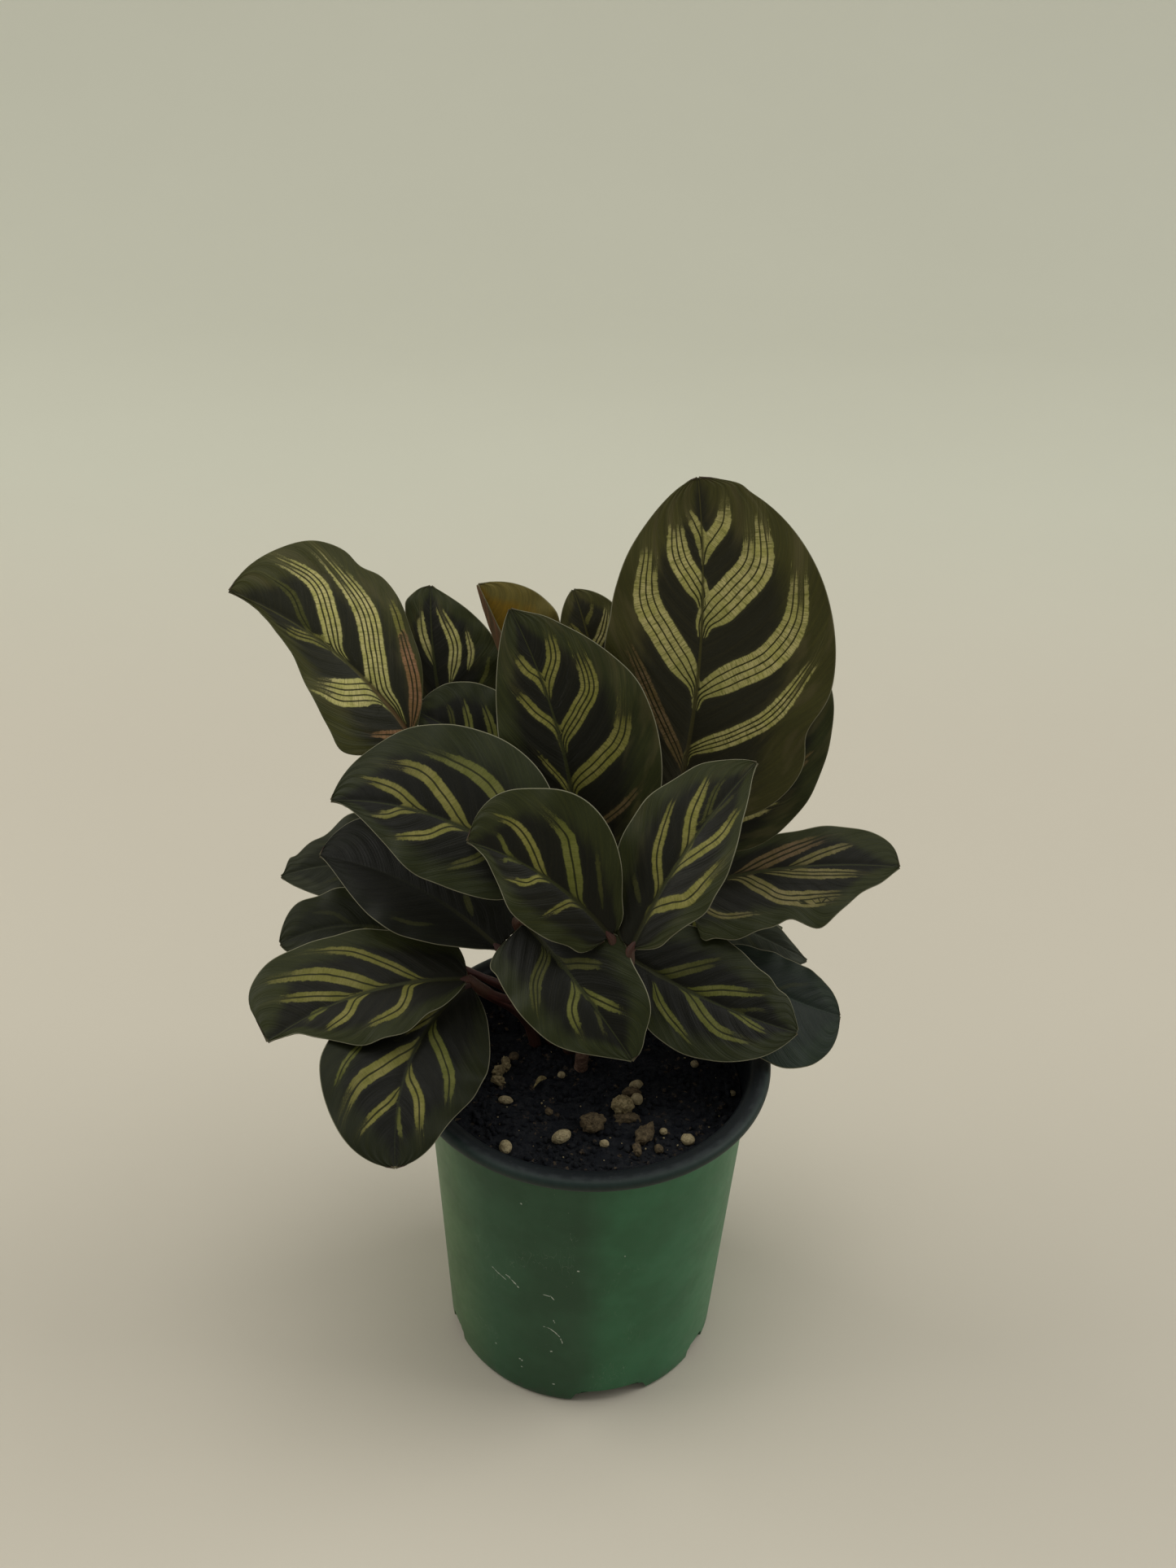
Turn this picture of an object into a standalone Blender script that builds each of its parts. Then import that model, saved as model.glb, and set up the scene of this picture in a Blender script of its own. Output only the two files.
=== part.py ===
"""Potted calathea: a young prayer plant with painted leaves in a round green
nursery pot.  Units in the tables are millimetres; the scene is in metres.

Frame: origin on the pot's axis, on the flat underside of the pot.  +Z is up and
+Y runs away from the front of the plant, +X to its right.
"""
import math

import bmesh
import bpy
from mathutils import Matrix, Vector

MM = 0.001

# ---------------------------------------------------------------- dimensions
GAP = 0.3                  # clearance that neighbouring pieces keep

POT_HEIGHT = 108.5
POT_BASE_R = 43.2          # outside of the wall at the bottom
POT_TOP_R = 49.0           # outside of the wall just under the rolled lip
LIP_R = 54.7               # outside of the rolled lip
LIP_DEPTH = 3.3
WALL = 1.3
FLOOR = 2.0
NOTCH_HEIGHT = 3.6         # drain notches cut through the bottom corner
NOTCHES = (                # centre angle, width in degrees
    (-77.0, 32.0), (-30.0, 17.0), (-157.0, 17.0),
    (103.0, 32.0), (150.0, 17.0), (23.0, 17.0),
)

SOIL_TOP = 96.0            # level plateau round the crown
SOIL_EDGE = 94.4           # level where the soil meets the wall
PLATEAU_R = 30.0

BLADE_T = 0.7              # leaf blade thickness
STEM_FOOT_R = 1.7          # sheathed foot of a leaf stalk
STEM_R = 1.15              # slender part
STEM_JOINT_R = 1.45        # swollen joint under the blade
STEM_START = SOIL_TOP + 0.4

# ---------------------------------------------------------------- leaves
# base, tip  : ends of the midrib
# bow        : rise of the midrib's middle over the chord, and its sideways sway
# face       : compass angle and elevation of the upper side
# left/right : greatest half-width, where it lies along the blade (0 base, 1 tip),
#              how full the outline is towards the base and towards the tip
# lift       : how far each half folds up from the midrib, degrees
# foot       : where the stalk leaves the soil
# lean       : sideways shift of the stalk's lower and upper part
LEAVES = {
    "tall_right": dict(base=(22, 21, 182), tip=(24, 44, 274), bow=(3, -4), face=(-92, 14),
                       left=(27, .50, .70, .66), right=(38, .46, .32, .60), lift=(10, 10), foot=(4, 17)),
    "right_rear": dict(base=(33, 28, 167), tip=(58, 55, 220), bow=(3, -4), face=(-85, 25),
                       left=(22, .42, .35, .50), right=(18, .42, .45, .55), lift=(8, 8), foot=(6.2, 20.9),
                       lean=((-2, 4, 0), (-4, 6, 0))),
    "top_left": dict(base=(-54, 30, 198), tip=(-106, 44, 236), bow=(4, -4), face=(-60, 46),
                     left=(18, .22, .50, 2.0), right=(29, .60, .95, .55), lift=(8, 12), foot=(-9.5, 24.6),
                     lean=((-6, 0, 0), (0, 0, 0))),
    "rear_left": dict(base=(-45, 40, 194), tip=(-51, 62, 231), bow=(3, 1), face=(-95, 30),
                      left=(8, .70, .90, .40), right=(20, .45, .50, .95), lift=(8, 8), foot=(-5.5, 24.7),
                      lean=((-4, 0, 0), (0, 0, 0))),
    "tucked_left": dict(base=(-19, 26, 190), tip=(-54, 39, 202), bow=(3, 0), face=(-95, 40),
                        left=(9, .40, .40, .70), right=(16, .55, .70, .50), lift=(8, 8), foot=(-10.3, 20.6)),
    "centre_upright": dict(base=(-5, 4, 177), tip=(-26, 34, 238), bow=(4, -4), face=(-92, 26),
                           left=(17, .42, .60, .80), right=(27, .42, .30, 1.0), lift=(8, 8), foot=(0, 17)),
    "broad_left": dict(base=(-16, -14, 183), tip=(-75, 11, 188), bow=(4, -5), face=(-108, 46),
                       left=(17, .40, .30, 1.6), right=(27, .42, .45, .70), lift=(8, 8), foot=(-4.1, 17),
                       lean=((0, 0, 0), (0, 2, 0))),
    "front_right": dict(base=(10, -28, 170), tip=(42, 1, 211), bow=(4, 1), face=(-122, 44),
                        left=(18, .48, .75, .75), right=(15, .42, .75, 1.3), lift=(14, 14), foot=(2, 13.3),
                        lean=((0, 1, 0), (9, 0, -6))),
    "front_left": dict(base=(4, -26, 172), tip=(-35, -10, 190), bow=(4, -4), face=(-95, 32),
                       left=(14, .40, .50, 1.6), right=(24, .58, .95, .50), lift=(20, 12), foot=(-2, 13.3),
                       lean=((0, 2, 0), (0, 5, -6))),
    "far_right": dict(base=(27, 26, 151), tip=(93, 36, 154), bow=(3, 2), face=(-85, 60),
                      left=(13, .72, .75, .35), right=(19, .45, .10, 1.0), lift=(8, 8), foot=(10.4, 20.4)),
    "low_right_inner": dict(base=(33, 38, 133), tip=(67, 28, 123), bow=(2, 0), face=(-75, 60),
                            left=(8, .35, .30, 1.2), right=(9, .55, .45, .75), lift=(8, 8), foot=(6.6, 25.2)),
    "low_right_outer": dict(base=(38, 18, 130), tip=(77, 15, 112), bow=(3, -3), face=(-60, 52),
                            left=(12, .60, .25, .50), right=(22, .55, .60, .55), lift=(8, 8), foot=(10.5, 16)),
    "lower_right": dict(base=(11, 9, 137), tip=(61, -5, 122), bow=(3, -3), face=(-82, 55),
                        left=(20, .35, .35, .85), right=(19, .48, .80, .90), lift=(8, 8), foot=(6, 13.3)),
    "lower_centre": dict(base=(-19, -16, 168), tip=(11, -48, 148), bow=(3, 1), face=(-106, 48),
                         left=(14.5, .64, 1.5, .55), right=(17, .40, .20, 1.0), lift=(8, 8), foot=(-6, 13.3),
                         lean=((2, -3, 0), (0, -2, 0))),
    "lower_left": dict(base=(-36, -8, 141), tip=(-91, -24, 129), bow=(3, -4), face=(-100, 65),
                       left=(16, .42, .80, 1.5), right=(22, .75, .50, .22), lift=(8, 8), foot=(-12.3, 17),
                       lean=((0, 0, -1), (-5, 1, -10))),
    "hanging_left": dict(base=(-36, 0, 132), tip=(-52, -54, 112), bow=(4, -7), face=(-75, 68),
                         left=(22, .48, .60, .55), right=(24, .60, 1.3, .65), lift=(8, 8), foot=(-17, 15.8),
                         lean=((0, 0, -1), (-1, 3, -14))),
    "dark_left": dict(base=(-27, -6, 151), tip=(-82, 24, 160), bow=(3, -4), face=(-105, 60),
                      left=(15, .48, .90, 1.2), right=(18, .68, 1.1, .50), lift=(8, 8), foot=(-8.2, 17),
                      lean=((-3, 3, 0), (-3, 3, 0))),
    "rear_low_left": dict(base=(-52, 30, 147), tip=(-97, 36, 143), bow=(2, -4), face=(-105, 58),
                          left=(12, .50, .60, .80), right=(18, .45, .60, 1.3), lift=(8, 8), foot=(-13.6, 24.5)),
    "side_low_left": dict(base=(-53, 13, 139), tip=(-94, 14, 134), bow=(2, -4), face=(-105, 62),
                          left=(12, .52, .70, .60), right=(13, .48, .80, .80), lift=(8, 8), foot=(-15.5, 20.6),
                          lean=((0, 0, 1), (-1, 0, -9))),
    "young_rolled": dict(base=(-20, 40, 202), tip=(-33, 48, 235), bow=(1, 1), face=(-70, 25),
                         left=(6, .45, .50, .90), right=(15, .52, .60, .60), lift=(125, 12), foot=(-6.2, 20.8)),
    "rear_centre": dict(base=(-1, 44, 207), tip=(-9, 54, 235), bow=(2, -1), face=(-90, 20),
                        left=(8, .52, .70, .70), right=(12, .55, .50, .70), lift=(8, 8), foot=(-1.7, 24.7)),
    # four low leaves that fill the far side of the clump
    "far_side_right": dict(base=(12, 36, 136), tip=(35, 86, 130), bow=(11, 0), face=(75, 66),
                           left=(19, .46, .55, .85), right=(19, .46, .55, .85), lift=(8, 8), foot=(2.4, 28.6)),
    "far_side_left": dict(base=(-14, 33, 138), tip=(-38, 82, 131), bow=(11, 0), face=(112, 64),
                          left=(19, .46, .55, .85), right=(19, .46, .55, .85), lift=(8, 8), foot=(-4.6, 29)),
    "far_side_low_right": dict(base=(28, 30, 116), tip=(60, 68, 108), bow=(9, 0), face=(48, 66),
                               left=(16, .46, .55, .85), right=(16, .46, .55, .85), lift=(8, 8), foot=(12.6, 24.4)),
    "far_side_low_left": dict(base=(-34, 34, 128), tip=(-77, 63, 122), bow=(9, 0), face=(140, 66),
                              left=(16, .46, .55, .85), right=(16, .46, .55, .85), lift=(8, 8), foot=(-11.5, 28.4)),
}
DROOP = 0.12               # how far a half-blade arches back down at its margin
ALONG, ACROSS = 10, 4      # spans of a blade's surface

# larger lumps in the potting mix: place on the soil, size, turn
LUMPS = {
    "pumice_oval": ((-7.5, -26.0), (6.4, 4.0, 3.6), 35),
    "pumice_round": ((10.3, -12.5), (6.6, 6.2, 5.4), 0),
    "bark_round": ((1.6, -19.5), (7.2, 6.4, 4.2), 15),
    "bark_wedge": ((17.1, -23.5), (5.6, 7.4, 4.6), -20),
    "pumice_left": ((-27.3, 0.5), (4.2, 6.0, 4.2), 10),
}
STUB_AT = (-2.6, 5.4)
STUB_R = 2.2
STUB_TOP = 101.5

# colours: linear base colour, roughness
COLOURS = {
    "pot": ((0.030, 0.110, 0.048), 0.42),
    "soil": ((0.010, 0.009, 0.008), 0.95),
    "blade": ((0.030, 0.055, 0.018), 0.40),
    "young": ((0.180, 0.130, 0.030), 0.40),
    "stalk": ((0.085, 0.030, 0.026), 0.50),
    "pumice": ((0.420, 0.350, 0.230), 0.90),
    "bark": ((0.130, 0.090, 0.055), 0.90),
}


# ---------------------------------------------------------------- leaf rules
def heading(azimuth, elevation):
    a, e = math.radians(azimuth), math.radians(elevation)
    return Vector((math.cos(e) * math.cos(a), math.cos(e) * math.sin(a), math.sin(e)))


def half_width(side, u):
    """Half-width at u: two quarter-curves that meet at the widest place."""
    widest, at, base_full, tip_full = side
    x = (at - u) / at if u < at else (u - at) / (1 - at)
    return widest * max(0.0, 1 - x * x) ** (base_full if u < at else tip_full)


def midrib(leaf, u):
    """Point on the midrib with its own along, up and left directions."""
    base, tip = Vector(leaf["base"]), Vector(leaf["tip"])
    chord = tip - base
    along = chord.normalized()
    up = heading(*leaf["face"])
    up = (up - up.dot(along) * along).normalized()
    left = up.cross(along)
    arch, sway = leaf["bow"]
    off = up * arch + left * sway
    point = base + chord * u + off * (4 * u * (1 - u))
    t = (chord + off * (4 - 8 * u)).normalized()
    n = (up - up.dot(t) * t).normalized()
    return point, t, n, n.cross(t)


def blade_point(leaf, u, s):
    """Surface point of the upper face; s runs from -1 (right) to +1 (left)."""
    point, t, n, left = midrib(leaf, u)
    hand = 1 if s >= 0 else -1
    side = leaf["left"] if hand > 0 else leaf["right"]
    w = half_width(side, u) + 0.7 * (1 - u) ** 8 + 0.35 * u ** 8
    fold = math.radians(leaf["lift"][0 if hand > 0 else 1])
    q = abs(s)
    return point + left * (hand * w * q * math.cos(fold)) + n * (w * (q * math.sin(fold) - DROOP * q * q))


def stem_path(leaf, steps=7):
    """Leaf stalk from the soil to just under the blade, with its thickness."""
    point, t, n, left = midrib(leaf, 0.0)
    end = point - t * 1.0
    foot = Vector((leaf["foot"][0], leaf["foot"][1], STEM_START))
    span = end - foot
    reach = span.length
    arrive = (span.normalized() * 0.55 + t * 0.45 - n * 0.15).normalized()
    low, high = leaf.get("lean", ((0, 0, 0), (0, 0, 0)))
    c1 = foot + Vector((span.x * 0.12, span.y * 0.12, reach * 0.42)) + Vector(low)
    c2 = end - arrive * (reach * 0.30) + Vector(high)
    path = []
    for i in range(steps + 1):
        k = i / steps
        p = foot * (1 - k) ** 3 + c1 * (3 * k * (1 - k) ** 2) + c2 * (3 * k * k * (1 - k)) + end * k ** 3
        r = STEM_FOOT_R + (STEM_R - STEM_FOOT_R) * min(1.0, k * 2.2)
        joint = max(0.0, 1 - abs(k - 0.9) / 0.12)
        path.append((p, r + (STEM_JOINT_R - STEM_R) * joint))
    return path


# ---------------------------------------------------------------- building
for old in list(bpy.data.objects):
    bpy.data.objects.remove(old, do_unlink=True)

PLANT = bpy.data.collections.new("potted_calathea")
CUTTERS = bpy.data.collections.new("cutters")
bpy.context.scene.collection.children.link(PLANT)
bpy.context.scene.collection.children.link(CUTTERS)


def paint(obj, key):
    colour, rough = COLOURS[key]
    mat = bpy.data.materials.new(obj.name + "_mat")
    mat.use_nodes = True
    bsdf = mat.node_tree.nodes["Principled BSDF"]
    bsdf.inputs["Base Color"].default_value = (*colour, 1.0)
    bsdf.inputs["Roughness"].default_value = rough
    bsdf.inputs["Metallic"].default_value = 0.0
    obj.data.materials.append(mat)


def add(name, data, key, collection=None):
    obj = bpy.data.objects.new(name, data)
    (collection or PLANT).objects.link(obj)
    if key:
        paint(obj, key)
    return obj


def from_bmesh(name, bm, key, collection=None):
    mesh = bpy.data.meshes.new(name)
    bm.to_mesh(mesh)
    bm.free()
    return add(name, mesh, key, collection)


def turned(name, profile, key, steps):
    """A profile of (radius, height) swept round Z."""
    mesh = bpy.data.meshes.new(name)
    mesh.from_pydata([(r * MM, 0.0, z * MM) for r, z in profile],
                     [(i, i + 1) for i in range(len(profile) - 1)], [])
    obj = add(name, mesh, key)
    screw = obj.modifiers.new("turn", "SCREW")
    screw.axis = "Z"
    screw.angle = 2 * math.pi
    screw.steps = steps
    screw.render_steps = steps
    screw.use_merge_vertices = True
    screw.merge_threshold = 0.00001
    screw.use_smooth_shade = True
    return obj


# pot: inner floor, up the inner wall, over the rolled lip, down the outer wall
taper = (POT_TOP_R - POT_BASE_R) / (POT_HEIGHT - LIP_DEPTH)


def wall_r(z):
    return POT_BASE_R + taper * z


pot = turned("pot", [
    (0, FLOOR),
    (wall_r(FLOOR) - WALL, FLOOR),
    (wall_r(104) - WALL, 104),
    (POT_TOP_R - WALL + 0.4, 106.6),
    (POT_TOP_R + 0.6, POT_HEIGHT - 0.4),
    (POT_TOP_R + 2.2, POT_HEIGHT),
    (LIP_R - 1.6, POT_HEIGHT - 0.1),
    (LIP_R - 0.4, POT_HEIGHT - 0.8),
    (LIP_R, POT_HEIGHT - 1.8),
    (LIP_R - 0.5, POT_HEIGHT - LIP_DEPTH),
    (POT_TOP_R, POT_HEIGHT - LIP_DEPTH),
    (wall_r(1.4), 1.4),
    (POT_BASE_R - 1.2, 0),
    (0, 0),
], "pot", 48)

# drain notches through the corner of wall and floor
for index, (centre, width) in enumerate(NOTCHES):
    bm = bmesh.new()
    bmesh.ops.create_cube(bm, size=1.0)
    deep, high = 9.0, NOTCH_HEIGHT * 2
    chord = 2 * POT_BASE_R * math.sin(math.radians(width / 2))
    bmesh.ops.scale(bm, vec=Vector((deep * MM, chord * MM, high * MM)), verts=bm.verts)
    # the notch narrows towards its top
    for v in bm.verts:
        if v.co.z > 0:
            v.co.y *= 0.62
    bmesh.ops.translate(bm, vec=Vector(((POT_BASE_R + 0.5) * MM, 0, 0)), verts=bm.verts)
    cutter = from_bmesh("notch_cut_%d" % index, bm, None, CUTTERS)
    cutter.rotation_euler = (0, 0, math.radians(centre))
    cutter.hide_render = True
    cutter.display_type = "WIRE"
    cut = pot.modifiers.new("notch_%d" % index, "BOOLEAN")
    cut.operation = "DIFFERENCE"
    cut.solver = "EXACT"
    cut.object = cutter

# potting mix: fills the pot to a little under the lip
soil_low = FLOOR + GAP
soil = turned("soil", [
    (0, SOIL_TOP),
    (PLATEAU_R, SOIL_TOP),
    (wall_r(SOIL_EDGE) - WALL - GAP, SOIL_EDGE),
    (wall_r(NOTCH_HEIGHT + 2) - WALL - GAP, NOTCH_HEIGHT + 2),
    (wall_r(soil_low) - WALL - GAP - 5.5, soil_low),
    (0, soil_low),
], "soil", 36)


def surface_of(x, y):
    r = math.hypot(x, y)
    if r <= PLATEAU_R:
        return SOIL_TOP
    edge = wall_r(SOIL_EDGE) - WALL - GAP
    return SOIL_TOP + (SOIL_EDGE - SOIL_TOP) * (r - PLATEAU_R) / (edge - PLATEAU_R)


# leaf blades and stalks
for name, leaf in LEAVES.items():
    bm = bmesh.new()
    bmesh.ops.create_grid(bm, x_segments=ALONG, y_segments=ACROSS, size=1.0)
    for v in bm.verts:
        u = 0.5 - 0.5 * math.cos(math.pi * (v.co.x + 1) / 2)
        v.co = blade_point(leaf, u, v.co.y) * MM
    blade = from_bmesh("leaf_" + name, bm, "young" if name == "young_rolled" else "blade")
    blade.data.shade_smooth()
    skin = blade.modifiers.new("thickness", "SOLIDIFY")
    skin.thickness = BLADE_T * MM
    skin.offset = -1.0

    curve = bpy.data.curves.new("stem_" + name, "CURVE")
    curve.dimensions = "3D"
    curve.bevel_depth = 1.0 * MM
    curve.bevel_resolution = 2
    curve.use_fill_caps = True
    path = stem_path(leaf)
    spline = curve.splines.new("POLY")
    spline.points.add(len(path) - 1)
    for point, (p, r) in zip(spline.points, path):
        point.co = (*(p * MM), 1.0)
        point.radius = r
    add("stem_" + name, curve, "stalk")

# cut stub of an old stalk
bm = bmesh.new()
stub_low = SOIL_TOP + GAP
bmesh.ops.create_cone(bm, cap_ends=True, segments=14, radius1=STUB_R * MM,
                      radius2=STUB_R * 0.85 * MM, depth=(STUB_TOP - stub_low) * MM)
stub = from_bmesh("cut_stub", bm, "stalk")
stub.location = (STUB_AT[0] * MM, STUB_AT[1] * MM, (STUB_TOP + stub_low) / 2 * MM)

# lumps of pumice and bark lying on the mix
for name, ((x, y), (sx, sy, sz), turn) in LUMPS.items():
    bm = bmesh.new()
    bmesh.ops.create_icosphere(bm, subdivisions=2, radius=0.5)
    for v in bm.verts:
        c = v.co
        dent = 1 + 0.10 * math.sin(5.1 * c.x + 2.3 * x) * math.cos(4.3 * c.y + y) - 0.06 * math.sin(7 * c.z + x)
        v.co = Vector((c.x * sx * dent, c.y * sy * dent, c.z * sz * dent)) * MM
    low = min(v.co.z for v in bm.verts)
    lump = from_bmesh(name, bm, "bark" if name.startswith("bark") else "pumice")
    lump.rotation_euler = (0, 0, math.radians(turn))
    lump.location = (x * MM, y * MM, (surface_of(x, y) + GAP) * MM - low)
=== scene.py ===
"""Potted calathea: finished surfaces, soil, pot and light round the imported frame.

Tables are in millimetres, the scene is in metres.  +Z is up, +Y runs away from
the front of the plant.
"""

import math

import bmesh
import bpy
import numpy as np
from mathutils import Matrix, Vector


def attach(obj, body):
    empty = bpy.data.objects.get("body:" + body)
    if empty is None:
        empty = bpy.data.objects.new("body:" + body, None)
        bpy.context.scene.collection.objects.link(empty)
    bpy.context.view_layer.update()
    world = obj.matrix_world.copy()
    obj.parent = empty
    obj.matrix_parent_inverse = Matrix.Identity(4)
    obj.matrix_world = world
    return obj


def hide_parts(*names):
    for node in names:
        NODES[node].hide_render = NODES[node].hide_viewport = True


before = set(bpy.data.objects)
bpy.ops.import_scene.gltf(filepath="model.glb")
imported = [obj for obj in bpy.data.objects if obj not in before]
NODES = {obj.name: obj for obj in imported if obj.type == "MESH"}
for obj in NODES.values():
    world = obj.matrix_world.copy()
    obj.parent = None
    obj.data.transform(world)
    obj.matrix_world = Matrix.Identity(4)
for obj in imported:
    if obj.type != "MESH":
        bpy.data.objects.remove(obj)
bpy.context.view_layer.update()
MM = 0.001

# ------------------------------------------------------------------ leaf table
# base, tip, bow, face, left, right, lift, foot, lean: as the frame's leaves
LEAVES = {
    "tall_right": dict(base=(22, 21, 182), tip=(24, 44, 274), bow=(3, -4), face=(-92, 14),
                       left=(27, .50, .70, .66), right=(38, .46, .32, .60), lift=(10, 10), foot=(4, 17)),
    "right_rear": dict(base=(33, 28, 167), tip=(58, 55, 220), bow=(3, -4), face=(-85, 25),
                       left=(22, .42, .35, .50), right=(18, .42, .45, .55), lift=(8, 8), foot=(6.2, 20.9),
                       lean=((-2, 4, 0), (-4, 6, 0))),
    "top_left": dict(base=(-54, 30, 198), tip=(-106, 44, 236), bow=(4, -4), face=(-60, 46),
                     left=(18, .22, .50, 2.0), right=(29, .60, .95, .55), lift=(8, 12), foot=(-9.5, 24.6),
                     lean=((-6, 0, 0), (0, 0, 0))),
    "rear_left": dict(base=(-45, 40, 194), tip=(-51, 62, 231), bow=(3, 1), face=(-95, 30),
                      left=(8, .70, .90, .40), right=(20, .45, .50, .95), lift=(8, 8), foot=(-5.5, 24.7),
                      lean=((-4, 0, 0), (0, 0, 0))),
    "tucked_left": dict(base=(-19, 26, 190), tip=(-54, 39, 202), bow=(3, 0), face=(-95, 40),
                        left=(9, .40, .40, .70), right=(16, .55, .70, .50), lift=(8, 8), foot=(-10.3, 20.6)),
    "centre_upright": dict(base=(-5, 4, 177), tip=(-26, 34, 238), bow=(4, -4), face=(-92, 26),
                           left=(17, .42, .60, .80), right=(27, .42, .30, 1.0), lift=(8, 8), foot=(0, 17)),
    "broad_left": dict(base=(-16, -14, 183), tip=(-75, 11, 188), bow=(4, -5), face=(-108, 46),
                       left=(17, .40, .30, 1.6), right=(27, .42, .45, .70), lift=(8, 8), foot=(-4.1, 17),
                       lean=((0, 0, 0), (0, 2, 0))),
    "front_right": dict(base=(10, -28, 170), tip=(42, 1, 211), bow=(4, 1), face=(-122, 44),
                        left=(18, .48, .75, .75), right=(15, .42, .75, 1.3), lift=(14, 14), foot=(2, 13.3),
                        lean=((0, 1, 0), (9, 0, -6))),
    "front_left": dict(base=(4, -26, 172), tip=(-35, -10, 190), bow=(4, -4), face=(-95, 32),
                       left=(14, .40, .50, 1.6), right=(24, .58, .95, .50), lift=(20, 12), foot=(-2, 13.3),
                       lean=((0, 2, 0), (0, 5, -6))),
    "far_right": dict(base=(27, 26, 151), tip=(93, 36, 154), bow=(3, 2), face=(-85, 60),
                      left=(13, .72, .75, .35), right=(19, .45, .10, 1.0), lift=(8, 8), foot=(10.4, 20.4)),
    "low_right_inner": dict(base=(33, 38, 133), tip=(67, 28, 123), bow=(2, 0), face=(-75, 60),
                            left=(8, .35, .30, 1.2), right=(9, .55, .45, .75), lift=(8, 8), foot=(6.6, 25.2)),
    "low_right_outer": dict(base=(38, 18, 130), tip=(77, 15, 112), bow=(3, -3), face=(-60, 52),
                            left=(12, .60, .25, .50), right=(22, .55, .60, .55), lift=(8, 8), foot=(10.5, 16)),
    "lower_right": dict(base=(11, 9, 137), tip=(61, -5, 122), bow=(3, -3), face=(-82, 55),
                        left=(20, .35, .35, .85), right=(19, .48, .80, .90), lift=(8, 8), foot=(6, 13.3)),
    "lower_centre": dict(base=(-19, -16, 168), tip=(11, -48, 148), bow=(3, 1), face=(-106, 48),
                         left=(14.5, .64, 1.5, .55), right=(17, .40, .20, 1.0), lift=(8, 8), foot=(-6, 13.3),
                         lean=((2, -3, 0), (0, -2, 0))),
    "lower_left": dict(base=(-36, -8, 141), tip=(-91, -24, 129), bow=(3, -4), face=(-100, 65),
                       left=(16, .42, .80, 1.5), right=(22, .75, .50, .22), lift=(8, 8), foot=(-12.3, 17),
                       lean=((0, 0, -1), (-5, 1, -10))),
    "hanging_left": dict(base=(-36, 0, 132), tip=(-52, -54, 112), bow=(4, -7), face=(-75, 68),
                         left=(22, .48, .60, .55), right=(24, .60, 1.3, .65), lift=(8, 8), foot=(-17, 15.8),
                         lean=((0, 0, -1), (-1, 3, -14))),
    "dark_left": dict(base=(-27, -6, 151), tip=(-82, 24, 160), bow=(3, -4), face=(-105, 60),
                      left=(15, .48, .90, 1.2), right=(18, .68, 1.1, .50), lift=(8, 8), foot=(-8.2, 17),
                      lean=((-3, 3, 0), (-3, 3, 0))),
    "rear_low_left": dict(base=(-52, 30, 147), tip=(-97, 36, 143), bow=(2, -4), face=(-105, 58),
                          left=(12, .50, .60, .80), right=(18, .45, .60, 1.3), lift=(8, 8), foot=(-13.6, 24.5)),
    "side_low_left": dict(base=(-53, 13, 139), tip=(-94, 14, 134), bow=(2, -4), face=(-105, 62),
                          left=(12, .52, .70, .60), right=(13, .48, .80, .80), lift=(8, 8), foot=(-15.5, 20.6),
                          lean=((0, 0, 1), (-1, 0, -9))),
    "young_rolled": dict(base=(-20, 40, 202), tip=(-36, 48, 238.5), bow=(1, 1), face=(-70, 25),
                         left=(6, .45, .50, .90), right=(19, .56, .60, .55), lift=(125, 12), foot=(-6.2, 20.8)),
    "rear_centre": dict(base=(-1, 44, 207), tip=(-9, 54, 235), bow=(2, -1), face=(-90, 20),
                        left=(8, .52, .70, .70), right=(12, .55, .50, .70), lift=(8, 8), foot=(-1.7, 24.7)),
    "far_side_right": dict(base=(12, 36, 136), tip=(35, 86, 130), bow=(11, 0), face=(75, 66),
                           left=(19, .46, .55, .85), right=(19, .46, .55, .85), lift=(8, 8), foot=(2.4, 28.6)),
    "far_side_left": dict(base=(-14, 33, 138), tip=(-38, 82, 131), bow=(11, 0), face=(112, 64),
                          left=(19, .46, .55, .85), right=(19, .46, .55, .85), lift=(8, 8), foot=(-4.6, 29)),
    "far_side_low_right": dict(base=(28, 30, 116), tip=(60, 68, 108), bow=(9, 0), face=(48, 66),
                               left=(16, .46, .55, .85), right=(16, .46, .55, .85), lift=(8, 8), foot=(12.6, 24.4)),
    "far_side_low_left": dict(base=(-34, 34, 128), tip=(-77, 63, 122), bow=(9, 0), face=(140, 66),
                              left=(16, .46, .55, .85), right=(16, .46, .55, .85), lift=(8, 8), foot=(-11.5, 28.4)),
}
DROOP = 0.12

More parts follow.
